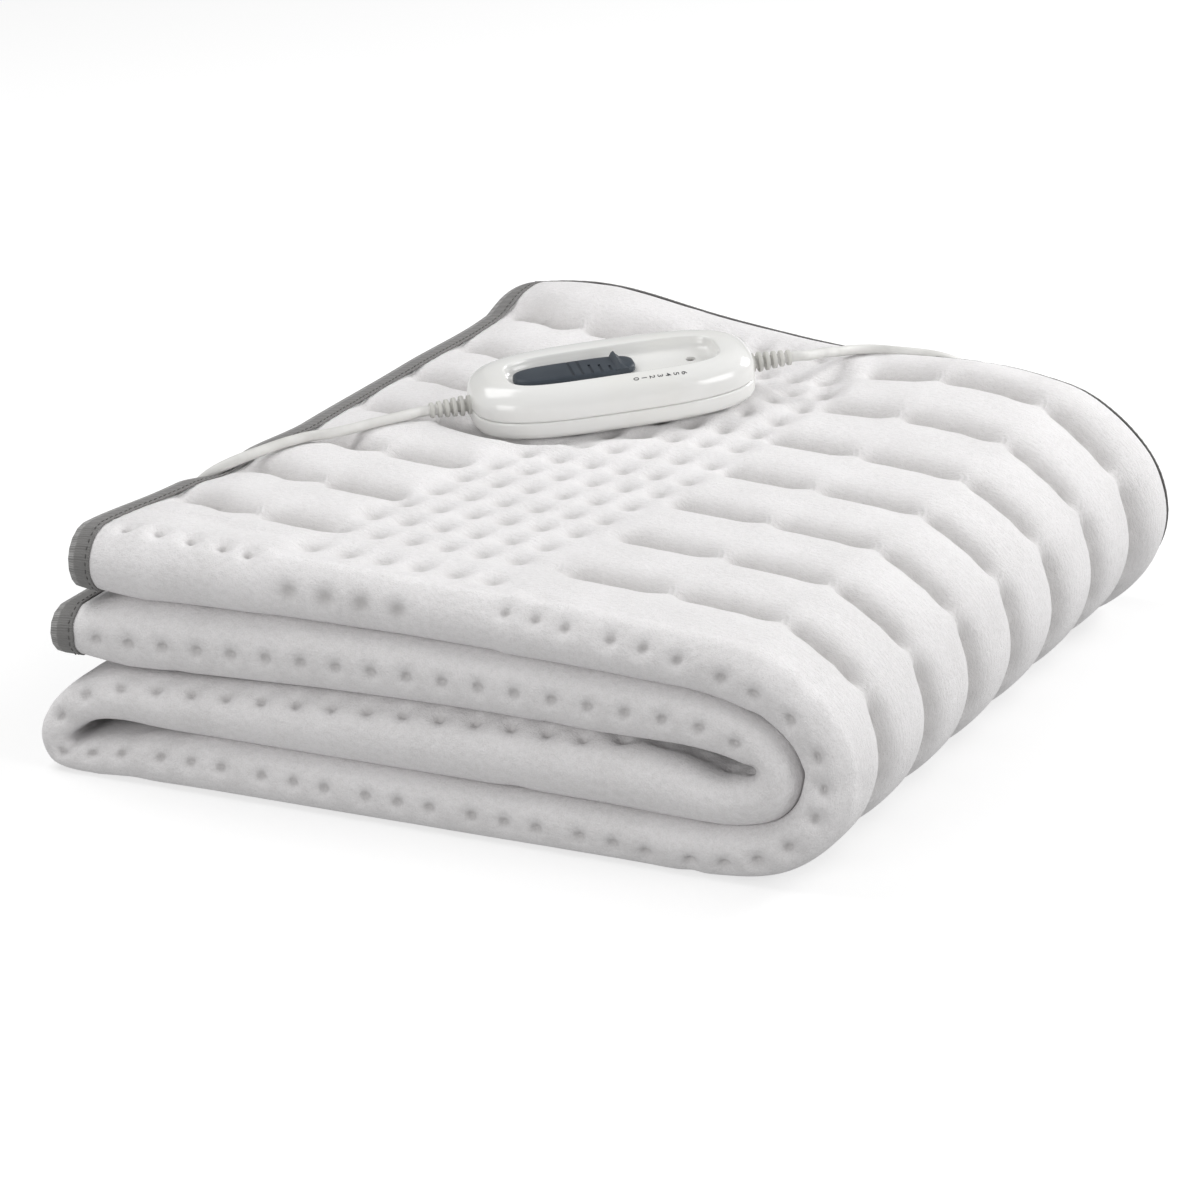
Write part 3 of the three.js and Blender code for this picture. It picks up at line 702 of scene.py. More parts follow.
def hand_over(piece: bpy.types.Object, body: Body, slot: Slot, *nodes: str) -> bpy.types.Object:
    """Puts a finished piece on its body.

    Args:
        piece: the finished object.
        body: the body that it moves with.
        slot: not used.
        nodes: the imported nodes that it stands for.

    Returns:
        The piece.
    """
    if nodes:
        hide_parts(*nodes)
    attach(piece, body.value)
    log.info("%s: %s", piece.name, "curve" if piece.type == "CURVE" else f"{len(piece.data.polygons)} faces")
    return piece


def set_places(verts: Iterable[bmesh.types.BMVert], places: np.ndarray) -> None:
    """Moves vertices to rows of places."""
    for vert, place in zip(verts, places.tolist()):
        vert.co = place


def everything(bm: bmesh.types.BMesh) -> list[object]:
    """All the vertices, edges and faces of a shape."""
    return bm.verts[:] + bm.edges[:] + bm.faces[:]


def crease_edges(piece: bpy.types.Object, degrees: float) -> None:
    """Shades edges sharper than an angle as edges."""
    piece.data.set_sharp_from_angle(angle=math.radians(degrees))


# The controller's place


@dataclass(frozen=True)
class HandsetPlace:
    """Where the controller lies: its base's middle, and its turns in degrees."""

    x: float = 165.8
    y: float = 264.7
    z: float = 115.6
    heading: float = 37.8
    pitch: float = 3.9
    roll: float = 7.0
    length: float = 138.0
    width: float = 61.5

    def matrix(self) -> Matrix:
        """From the controller's frame in millimetres to the table frame."""
        turns = Euler([math.radians(a) for a in (self.roll, -self.pitch, self.heading)], "XYZ")
        return Matrix.Translation((self.x, self.y, self.z)) @ turns.to_matrix().to_4x4()

    def to_row(self) -> Matrix:
        """From the controller's frame in millimetres to the row frame in metres."""
        return Matrix.Scale(MM, 4) @ Matrix.Translation((-CENTRE_X, -CENTRE_Y, 0)) @ self.matrix()

    def plane(self, x: np.ndarray, y: np.ndarray) -> np.ndarray:
        """Height of the plane of the base."""
        up = self.matrix().to_3x3() @ Vector((0, 0, 1))
        return self.z - (up.x * (x - self.x) + up.y * (y - self.y)) / up.z

    def cover(self, x: np.ndarray, y: np.ndarray, full: float, end: float) -> np.ndarray:
        """How far places lie beneath the controller.

        Args:
            x: their x in the table frame.
            y: their y.
            full: distance from the controller's middle line within which it covers all.
            end: distance beyond which it covers nothing.

        Returns:
            1 beneath it, 0 away from it.
        """
        turn = math.radians(self.heading)
        dx, dy = x - self.x, y - self.y
        along = dx * math.cos(turn) + dy * math.sin(turn)
        across = dy * math.cos(turn) - dx * math.sin(turn)
        beyond = np.maximum(0, np.abs(along) - (self.length - self.width) / 2)
        return 1 - smooth(np.hypot(beyond, across), full, end)


# The folded sheet

# The fold seen from the front, in order from the top layer's end to the second layer's end:
# the face side's x and z, then the back side's
FOLD = (
    (18, 119.5, 18, 81), (60, 119.5, 60, 85.7), (120, 117.5, 120, 87.5), (200, 114.5, 200, 87.3),
    (260, 112.3, 258, 86.2), (300, 110, 295, 84.6), (330, 107.5, 321, 83), (352, 104, 340, 78.6),
    (373, 92, 358, 71), (388, 74, 367.5, 60.5), (393.5, 52, 369.5, 50), (389, 33, 367, 40),
    (377, 17, 360, 31.5), (358, 5, 349, 26.7), (330, 0, 330, 23.8), (280, 0, 280, 24),
    (200, 0, 200, 24.5), (120, 0, 120, 25.3), (70, 0, 72, 25), (36, 0, 42, 21),
    (18, 0, 24, 17), (4, 4, 14.5, 14), (-1.5, 15.5, 13, 16), (2, 28, 17, 20.5),
    (15, 42, 26, 25.8), (31, 49.5, 40, 27.5), (60, 51.3, 62, 26.4), (100, 53.6, 100, 25.8),
    (150, 56, 150, 25), (220, 57, 220, 24.4), (275, 56, 278, 24), (312, 51, 315, 23.8),
    (332, 46.2, 341, 25.4), (343, 48.4, 358.5, 31), (347.5, 49.9, 367, 42), (347.2, 51, 368, 54),
    (342.5, 53.2, 361, 67.5), (334, 55.6, 347, 75.5), (318, 57.3, 324, 82), (275, 57, 278, 85.2),
    (220, 58, 220, 87), (150, 57, 150, 87.3), (95, 54.6, 95, 86.8), (45, 52.4, 45, 84.7),
    (8, 52, 8, 80),
)


@dataclass(frozen=True)
class Hump:
    """A lift, or with a height below 0 a dip, of the top layer."""

    x: float
    y: float
    height: float
    spread_x: float
    spread_y: float
    reach: float = 420.0
    fade: float = 90.0
    under: float = 0.5


@dataclass(frozen=True)
class FoldedSheet:
    """The sheet's flat pattern and its way into the fold.

    Flat places are the distance along from the top layer's end, and the distance across from
    the front of the fold, positive on the face side. Pairs of places are where something starts
    and where it is full.
    """

    length: float = 1500.0
    width: float = 800.0
    half_gap: float = 0.6
    clearance: float = 0.5
    hem: float = 35.0
    hem_share: float = 0.45
    tape: float = 11.0
    shifts: tuple = ((0, 15), (330, 3), (450, 6), (700, 3), (1000, 7), (1500, 0))
    slant: tuple = ((0, 0), (70, 11), (120, 18), (170, 24), (270, 26), (370, 31), (430, 40))
    slant_under: float = 0.6
    second_slant: float = 12.0
    slant_reach: float = 300.0
    flare: float = 0.022
    flare_x: Spot = (230.0, 370.0)
    humps: tuple = (
        Hump(101, 425, 15, 60, 50),
        Hump(188, 430, 4.2, 48, 48),
        Hump(312, 360, 9, 55, 70),
        Hump(34, 108, -3.6, 15, 17, 120, 60, 0.35),
    )
    back_dome: float = 3.2
    back_dome_width: float = 24.0
    back_drop: tuple = ((0, 8), (110, 8), (190, 6), (620, 5.5))
    back_drop_width: float = 15.0
    back_fade: Spot = (490.0, 610.0)
    deepest: float = 0.82
    handset: HandsetPlace = field(default_factory=HandsetPlace)
    seat: Spot = (30.0, 50.0)
    seat_gap: float = 0.5
    seat_reach: float = 420.0
    stops_per_row: int = 40

    def shift(self, along: np.ndarray) -> np.ndarray:
        """How far the sheet's middle line lies on the face side of the front."""
        return eased(self.shifts, along)

    def shift_at(self, along: float) -> float:
        """The shift at one place."""
        return float(self.shift(np.array([along]))[0])

    def section(self, along: np.ndarray) -> tuple[np.ndarray, np.ndarray, np.ndarray]:
        """Reads the fold seen from the front.

        Args:
            along: places along the sheet.

        Returns:
            For each place the double layer's middle, the direction to its face side, and half
            its thickness.
        """
        rows = np.array(FOLD, float)
        steps = np.linspace(0, 1, self.stops_per_row * len(rows) + 1)
        middles = (curve_points(rows[:, :2], steps) + curve_points(rows[:, 2:], steps)) / 2
        run = np.concatenate([[0], np.cumsum(np.hypot(*np.diff(middles, axis=0).T))])
        held = np.clip(along, 0, self.length)
        at = np.interp(held / self.length * run[-1], run, steps)
        face = curve_points(rows[:, :2], at)
        middle = (face + curve_points(rows[:, 2:], at)) / 2
        to_face = face - middle
        half = np.hypot(*to_face.T)
        middle[:, 0] -= np.abs(along - held)
        return middle, to_face / half[:, None], half - self.clearance

    def set_back(self, along: np.ndarray, y: np.ndarray, side: np.ndarray) -> np.ndarray:
        """How far the slanted ends push a place along the sheet.

        Args:
            along: places along the sheet.
            y: their distance back from the front.
            side: 1 on the face side, -1 on the back side.

        Returns:
            The push at each place.
        """
        top = eased(self.slant, y) * np.where(side > 0, 1, self.slant_under)
        second = self.second_slant * y / self.width * 2
        near_top = np.clip(1 - np.maximum(along, 0) / self.slant_reach, 0, None)
        near_second = np.clip(1 - np.maximum(self.length - along, 0) / self.slant_reach, 0, None)
        return top * near_top - second * near_second

    def lift(self, x: np.ndarray, y: np.ndarray, along: np.ndarray, side: np.ndarray) -> np.ndarray:
        """How far the humps and dips raise a place.

        Args:
            x: places' x in the table frame.
            y: their y.
            along: where they are along the sheet.
            side: 1 on the face side, -1 on the back side.

        Returns:
            The rise at each place.
        """
        total = np.zeros_like(x)
        for hump in self.humps:
            near = np.clip((hump.reach - along) / hump.fade, 0, 1)
            bell = np.exp(-(((x - hump.x) / hump.spread_x) ** 2) - ((y - hump.y) / hump.spread_y) ** 2)
            total += hump.height * bell * near * np.where(side > 0, 1, hump.under)
        return total

    def rolled(self, along: np.ndarray, from_back: np.ndarray) -> np.ndarray:
        """Rise of the last wide channel and roll of the back edge.

        Args:
            along: places along the sheet.
            from_back: their distance from the back edge.

        Returns:
            How far each place moves out from the fold.
        """
        wide = self.back_dome_width
        dome = self.back_dome * np.clip(1 - ((from_back - wide) / wide) ** 2, 0, 1)
        drop = eased(self.back_drop, along) * np.clip(1 - from_back / self.back_drop_width, 0, 1.3) ** 1.6
        return (dome - drop) * (1 - smooth(along, *self.back_fade))

    def place(
        self,
        along: np.ndarray,
        across: np.ndarray,
        share: np.ndarray,
        from_edge: np.ndarray,
        clear: float = 0.0,
        swell: "np.ndarray | float" = 0.0,
    ) -> np.ndarray:
        """Takes flat places into the fold.

        Args:
            along: distance from the top layer's end.
            across: distance round from the front, positive on the face side.
            share: -1 on the sheet's inner side, 1 on its outer side.
            from_edge: distance to the nearest edge.
            clear: how far beyond the surface.
            swell: how far the quilting lifts the outer surface.

        Returns:
            A row of x, y and z in the table frame for each place.
        """
        given = (np.asarray(v, float) for v in (along, across, share, from_edge, swell))
        along, across, share, from_edge, swell = (v.ravel() for v in np.broadcast_arrays(*given))
        reach = np.abs(across)
        side = np.where(across < 0, -1.0, 1.0)
        setting = self.set_back(along, np.maximum(0, reach - self.tape), side)
        middle, to_face, half = self.section(along + setting)
        radius = (half + self.half_gap) / 2
        hemmed = self.hem_share + (1 - self.hem_share) * np.clip(from_edge / self.hem, 0, 1)
        thick = (half - self.half_gap) * hemmed
        swell = np.maximum(swell, -self.deepest * thick)
        offset = share * thick / 2 + np.sign(share) * clear + swell
        quarter = radius * math.pi / 2
        curved = reach <= quarter
        turn = np.clip(across / radius, -2, 2)
        out = np.where(curved, (radius + offset) * np.sin(turn), side * (radius + offset))
        y = np.where(curved, half - (radius + offset) * np.cos(turn), half + reach - quarter)
        from_back = self.width / 2 + self.shift(along) - across
        out += np.where(side > 0, self.rolled(along, from_back), 0)
        x = middle[:, 0] + to_face[:, 0] * out
        z = middle[:, 1] + to_face[:, 1] * out
        z += self.lift(x, y, along, side)
        x += self.flare * y * smooth(x, *self.flare_x)
        height = np.maximum(0, z - self.clearance)
        on_top = (side > 0) & (share > 0) & (along < self.seat_reach)
        seated = self.handset.cover(x, y, *self.seat) * on_top
        unswollen = z - self.clearance - np.where(curved, 0, side * to_face[:, 1] * swell)
        height += (self.handset.plane(x, y) - self.seat_gap - unswollen) * seated
        return np.stack([x, y, height], 1)


@dataclass(frozen=True)
class Crease:
    """A soft trough, or with a depth below 0 a ridge, between two flat places."""

    along: float
    across: float
    to_along: float
    to_across: float
    depth: float
    spread: float

    def trough(self, along: np.ndarray, across: np.ndarray) -> np.ndarray:
        """How deep the crease is.

        Args:
            along: places along the sheet.
            across: places across it.

        Returns:
            The depth at each place.
        """
        run = np.array((self.to_along - self.along, self.to_across - self.across))
        length = float(np.hypot(*run))
        local = np.stack([along - self.along, across - self.across])
        share = np.clip((run @ local) / length**2, 0, 1)
        away = np.hypot(local[0] - run[0] * share, local[1] - run[1] * share)
        taper = np.sin(np.clip(share, 0.04, 0.96) * math.pi) ** 0.6
        return self.depth * taper * np.exp(-((away / self.spread) ** 2))


@dataclass(frozen=True)
class Dot:
    """A weld dot: its flat place, its depth and its radii."""

    along: float
    across: float
    depth: float
    radius_along: float
    radius_across: float


@dataclass(frozen=True)
class Quilting:
    """Weld lines along the sheet, their dots, and the close band of dots across it.

    Line 0 is the front of the fold. Its dots were placed one by one as far as the first layers
    reach, the rest follow at an even pitch. A band row holds the place across, the first dot's
    place along and how many dots there are.
    """

    pitch: float = 51.3
    lines: int = 8
    top_drift: tuple = (
        (0, 20), (20, 11), (50, 4), (100, 2), (215, 1), (300, 0), (340, -7), (400, -8), (520, 0),
    )
    front_drift: tuple = (
        (0, 15), (23, 13), (60, 10.5), (95, 9), (213, 5), (262, 3), (330, -1), (398, 0), (467, 3),
        (520, 1), (600, 0), (752, -2), (850, 5), (1045, 9), (1104, 18), (1177, 0), (1500, 1),
    )
    line_depth: float = 6.8
    line_power: float = 3.0
    front_line_depth: float = 1.0
    front_line_reach: float = 14.0
    front_line_power: float = 1.8
    gap_ease: float = 0.46
    gap_width: float = 6.5
    gap_places: tuple = (9, 60, 112, 163, 214, 266, 318, 360, 404)
    more_gaps: int = 22
    front_gap: float = 45.8
    front_gaps: int = 31
    dot_shares: tuple = (0.21, 0.5, 0.79)
    dot: tuple = (4.3, 5.0, 0.85)
    front_dot: tuple = (4.4, 3.7, 0.52)
    front_dots: tuple = (
        23.5, 41, 58, 74, 87, 213, 227, 241, 262, 277, 293, 314, 330, 349, 369, 384, 398, 417,
    )
    front_threes: tuple = (433, 7, (0, 15.3, 31))
    front_rest: tuple = (792, 17.15, 42)
    band_drop: float = 1.3
    band_start: float = 98.0
    band_slant: float = 0.06
    band_rise: Spot = (-5.0, 4.0)
    band_fall: Spot = (106.0, 115.0)
    band_front: Spot = (-12.0, -6.0)
    band_back: Spot = (378.0, 388.0)
    band_pitch: float = 17.5
    band_dot: Point = (4.3, 6.0, 6.6)
    band_front_dot: Point = (4.3, 6.0, 3.6)
    band_rows: tuple = (
        (0, 110, 4), (26.5, 107, 6), (54.5, 104, 6), (76, 106, 6), (98, 110, 6), (119, 113, 6),
        (141, 115, 6), (163, 118, 6), (185, 123, 6), (210, 124, 6), (238, 125, 6), (260, 125, 6),
        (281, 127, 6), (303, 131, 6), (324, 133, 6), (344, 125, 6), (372, 127, 5),
    )

    def line(self, number: int, along: np.ndarray) -> np.ndarray:
        """Where a weld line runs, across the sheet."""
        drift = self.front_drift if number == 0 else self.top_drift
        return number * self.pitch + eased(drift, along)

    def gaps(self, number: int) -> list[float]:
        """Places along a line where its groups of three dots part.

        Args:
            number: the line's number.

        Returns:
            The places.
        """
        if number == 0:
            return [self.front_gap + self.pitch * (i - 1) for i in range(self.front_gaps)]
        last = self.gap_places[-1]
        return [*self.gap_places, *(last + self.pitch * (i + 1) for i in range(self.more_gaps))]

    def dots(self, number: int) -> list[float]:
        """Places of the dots along a line.

        Args:
            number: the line's number.

        Returns:
            The places.
        """
        if number == 0:
            start, groups, steps = self.front_threes
            threes = [start + self.pitch * i + step for i in range(groups) for step in steps]
            first, pitch, count = self.front_rest
            return [*self.front_dots, *threes, *(first + pitch * i for i in range(count))]
        gaps = self.gaps(number)
        return [a + (b - a) * share for a, b in zip(gaps, gaps[1:]) for share in self.dot_shares]

    def in_band(self, along: np.ndarray, across: np.ndarray) -> np.ndarray:
        """How far places lie in the close band of dots on the top layer.

        Args:
            along: places along the sheet.
            across: places across it.

        Returns:
            1 within the band, 0 outside.
        """
        start = self.band_start + np.clip(across, 0, 400) * self.band_slant
        risen = smooth(along, *(start + step for step in self.band_rise))
        here = risen * (1 - smooth(along, *(start + step for step in self.band_fall)))
        return here * (1 - smooth(across, *self.band_back)) * smooth(across, *self.band_front)

    def outside_band(self, number: int, places: list[float]) -> list[Spot]:
        """Flat places of a line's places, without those in the band.

        Args:
            number: the line's number.
            places: places along it.

        Returns:
            Along and across of each.
        """
        along = np.array(places)
        across = self.line(number, along)
        kept = self.in_band(along, across) < 0.5
        return list(zip(along[kept], across[kept]))

    def spots(self) -> list[Dot]:
        """Every dot of the lines and of the band.

        Returns:
            The dots.
        """
        found = []
        for number in range(-self.lines, self.lines + 1):
            depth, wide, share = self.front_dot if number == 0 else self.dot
            if number == 0:
                along = np.array(self.dots(0))
                places = list(zip(along, self.line(0, along)))
            else:
                places = self.outside_band(number, self.dots(number))
            found += [Dot(along, across, depth, wide, share * wide) for along, across in places]
        for across, start, count in self.band_rows:
            size = self.band_dot if across > 14 else self.band_front_dot
            found += [Dot(start + self.band_pitch * i, across, *size) for i in range(count)]
        return found

    def partings(self) -> list[Spot]:
        """Flat places where the groups of dots of the top's lines part.

        Returns:
            Along and across of each.
        """
        numbers = (*range(-self.lines, 0), *range(1, self.lines + 1))
        return [place for number in numbers for place in self.outside_band(number, self.gaps(number))]

    def valleys(self, along: np.ndarray, across: np.ndarray) -> np.ndarray:
        """How deep the weld lines pull the surface in.

        Args:
            along: places along the sheet.
            across: places across it.

        Returns:
            The depth at each place.
        """
        deepest = np.zeros_like(along)
        for number in range(-self.lines, self.lines + 1):
            off = np.abs(across - self.line(number, along))
            if number == 0:
                near = np.clip(1 - off / self.front_line_reach, 0, 1) ** self.front_line_power
                deepest = np.maximum(deepest, self.front_line_depth * near)
                continue
            near = np.clip(1 - off / (self.pitch / 2), 0, 1) ** self.line_power
            part = np.min(np.abs(along[:, None] - np.array(self.gaps(number))[None, :]), axis=1)
            ease = 1 - self.gap_ease * np.exp(-((part / self.gap_width) ** 2))
            deepest = np.maximum(deepest, self.line_depth * ease * near)
        return deepest

    def dimples(self, along: np.ndarray, across: np.ndarray) -> tuple[np.ndarray, np.ndarray]:
        """How deep the dots press the surface in.

        Args:
            along: places along the sheet.
            across: places across it.

        Returns:
            The depth, and how much the pile is pressed flat, which the fleece also darkens as painted shade.
        """
        dimple, flattened_and_shaded = np.zeros_like(along), np.zeros_like(along)
        order = np.argsort(along)
        sorted_along = along[order]
        for dot in self.spots():
            reach = 3 * dot.radius_along
            low, high = np.searchsorted(sorted_along, (dot.along - reach, dot.along + reach))
            near = order[low:high]
            gap = ((along[near] - dot.along) / dot.radius_along) ** 2
            gap = gap + ((across[near] - dot.across) / dot.radius_across) ** 2
            dimple[near] = np.maximum(dimple[near], dot.depth * np.exp(-(gap**0.85)))
            flattened_and_shaded[near] = np.maximum(flattened_and_shaded[near], 0.6 * np.exp(-gap * 1.8))
        return dimple, flattened_and_shaded

    def depth(
        self, along: np.ndarray, across: np.ndarray, creases: Iterable[Crease]
    ) -> tuple[np.ndarray, np.ndarray]:
        """How far the outer surface is pressed in.

        Args:
            along: places along the sheet.
            across: places across it.
            creases: soft folds laid over the quilting.

        Returns:
            The depth, and from 0 to 1 how much the pile is pressed flat, which the fleece also darkens as
            painted shade.
        """
        band = self.in_band(along, across)
        pressed = self.valleys(along, across) * (1 - band)
        # weld: pressed pile, and the strength of the painted shade in the fleece's welds
        weld = 0.8 * np.clip(pressed / self.line_depth, 0, 1) ** 1.1
        dimple, flattened_and_shaded = self.dimples(along, across)
        pressed += self.band_drop * band
        pressed += dimple
        for crease in creases:
            pressed += crease.trough(along, across)
        return pressed, np.maximum(weld, flattened_and_shaded)


@dataclass
class QuiltedSheet:
    """The padded sheet, cut in one piece, quilted and folded.

    Its cells are halved three times along the front, twice where the camera sees the sheet and
    once on the bottom.
    """

    fold: FoldedSheet
    quilting: Quilting
    cell: float = 10.0
    front: Spot = (-10.0, 17.0)
    seen: Spot = (-40.0, 60.0)
    top_reach: float = 520.0
    bottom_reach: float = 880.0
    map_reach: float = 40.0
    crest: float = 0.9
    hem: Spot = (4.0, 26.0)
    hem_swell: float = 0.25
    under_tape: float = 8.0
    creases: tuple = (
        Crease(20, 34, 95, 28, 1.0, 5),
        Crease(60, 22, 118, 42, 0.7, 4),
        Crease(92, -8, 118, 12, 0.9, 4),
        Crease(120, -22, 175, -12, 0.8, 5),
        Crease(205, 22, 236, 8, 0.9, 4),
        Crease(330, -18, 352, 22, 0.8, 5),
        Crease(372, -20, 390, 26, 0.9, 5),
        Crease(455, -16, 470, 20, 0.7, 4),
        Crease(702, -20, 742, 12, 0.9, 5),
        Crease(716, -24, 758, 2, 0.7, 4),
        Crease(1010, -20, 1032, 18, 0.8, 6),
        Crease(1236, -22, 1262, 14, 0.6, 5),
        Crease(1420, -20, 1446, 16, 0.6, 5),
    )

    def halvings(self, along: float, across: float) -> int:
        """How often the outer side's cells are halved.

        Args:
            along: a place along the sheet.
            across: the place across it.

        Returns:
            The number of halvings there.
        """
        if self.front[0] < across < self.front[1]:
            return 3
        if across > self.seen[0] and (along < self.top_reach or across < self.seen[1]):
            return 2
        return 1 if self.top_reach < along < self.bottom_reach else 0

    def pattern(self) -> bmesh.types.BMesh:
        """Cuts the flat closed sheet.

        Returns:
            Its outer side at z 1 and its inner side at z -1, both in flat places.
        """
        bm = bmesh.new()
        length, width = self.fold.length, self.fold.width
        columns, rows = round(length / self.cell), round(width / self.cell)
        bmesh.ops.create_grid(bm, x_segments=columns, y_segments=rows, size=1.0)
        bmesh.ops.scale(bm, vec=(length / 2, width / 2, 1), verts=bm.verts)
        bmesh.ops.translate(bm, vec=(length / 2, 0, 1), verts=bm.verts)
        inner = bmesh.ops.duplicate(bm, geom=everything(bm))["geom"]
        inner_verts = [g for g in inner if isinstance(g, bmesh.types.BMVert)]
        bmesh.ops.translate(bm, vec=(0, 0, -2), verts=inner_verts)
        bmesh.ops.reverse_faces(bm, faces=[g for g in inner if isinstance(g, bmesh.types.BMFace)])
        bmesh.ops.bridge_loops(bm, edges=[e for e in bm.edges if e.is_boundary])
        for times in (1, 2, 3):
            self.refine(bm, times)
        return bm

    def refine(self, bm: bmesh.types.BMesh, times: int) -> None:
        """Halves the cells of the outer side that need it once more.

        Args:
            bm: the flat sheet.
            times: how many halvings this one makes.
        """
        size = self.cell / 2 ** (times - 1)
        edges = set()
        for face in bm.faces:
            middle = face.calc_center_median()
            inside = self.cell < middle.x < self.fold.length - self.cell
            inside = inside and abs(middle.y) < self.fold.width / 2 - self.cell
            if middle.z < 0.9 or not inside or face.calc_area() > 1.1 * size**2:
                continue
            if self.halvings(middle.x, middle.y + self.fold.shift_at(middle.x)) >= times:
                edges.update(face.edges)
        bmesh.ops.subdivide_edges(bm, edges=list(edges), cuts=1, use_grid_fill=True)

    def flat_map(self, bm: bmesh.types.BMesh) -> None:
        """Lays the map of the flat places, in metres.

        Args:
            bm: the flat sheet.
        """
        layer = bm.loops.layers.uv.new("flat")
        for loop in (loop for face in bm.faces for loop in face.loops):
            loop[layer].uv = (loop.vert.co.x * MM, loop.vert.co.y * MM)

    def local_map(self, bm: bmesh.types.BMesh, name: str, centres: list[Spot], sizes: list[Spot]) -> None:
        """Lays a map on which every face is placed against the centre nearest to it.

        Args:
            bm: the flat sheet.
            name: the map's name.
            centres: flat places, along and across the quilting.
            sizes: what counts as 1 along and across, for each centre.
        """
        tree = KDTree(len(centres))
        for i, (along, across) in enumerate(centres):
            tree.insert((along, across, 0), i)
        tree.balance()
        layer = bm.loops.layers.uv.new(name)
        for face in bm.faces:
            middle = face.calc_center_median()
            shift = self.fold.shift_at(middle.x)
            centre, i, gap = tree.find((middle.x, middle.y + shift, 0))
            if middle.z < 0.9 or gap > self.map_reach:
                centre = (middle.x + self.map_reach, middle.y + self.map_reach)
            for loop in face.loops:
                along, across = loop.vert.co.x - centre[0], loop.vert.co.y + shift - centre[1]
                loop[layer].uv = (along / sizes[i][0], across / sizes[i][1])

    def build(self, finish: bpy.types.Material) -> bpy.types.Object:
        """Builds the folded sheet.

        Args:
            finish: its material.

        Returns:
            The sheet.
        """
        bm = self.pattern()
        self.flat_map(bm)
        dots, partings = self.quilting.spots(), self.quilting.partings()
        centres = [(dot.along, dot.across) for dot in dots]
        radii = [(dot.radius_along, dot.radius_across) for dot in dots]
        self.local_map(bm, "around_dot", centres, radii)
        self.local_map(bm, "around_gap", partings, [(1.0, 1.0)] * len(partings))
        along, sheet_across, share = np.array([v.co for v in bm.verts]).T
        across = sheet_across + self.fold.shift(along)
        ends = np.minimum(along, self.fold.length - along)
        from_edge = np.clip(np.minimum(ends, self.fold.width / 2 - np.abs(sheet_across)), 0, None)
        pressed, weld = self.quilting.depth(along, across, self.creases)
        outer = share > 0
        hem = smooth(from_edge, *self.hem)
        swell = np.where(outer, self.crest - pressed, 0.0) * (self.hem_swell + (1 - self.hem_swell) * hem)
        swell = np.where(outer & (from_edge < self.under_tape), np.minimum(swell, 0.0), swell)
        set_places(bm.verts, to_row(self.fold.place(along, across, share, from_edge, 0.0, swell)))
        # the weld attribute: pressed pile, and painted shade that darkens the fleece in welds and dots
        shade = bm.verts.layers.float.new("weld")
        for vert, value in zip(bm.verts, np.where(outer, weld * hem, 0.0).tolist()):
            vert[shade] = value
        bmesh.ops.recalc_face_normals(bm, faces=bm.faces)
        piece = as_object("quilted_sheet", bm, finish)
        hand_over(piece, Body.BLANKET, Slot.FLEECE, "blanket")
        return piece


# The edge tape


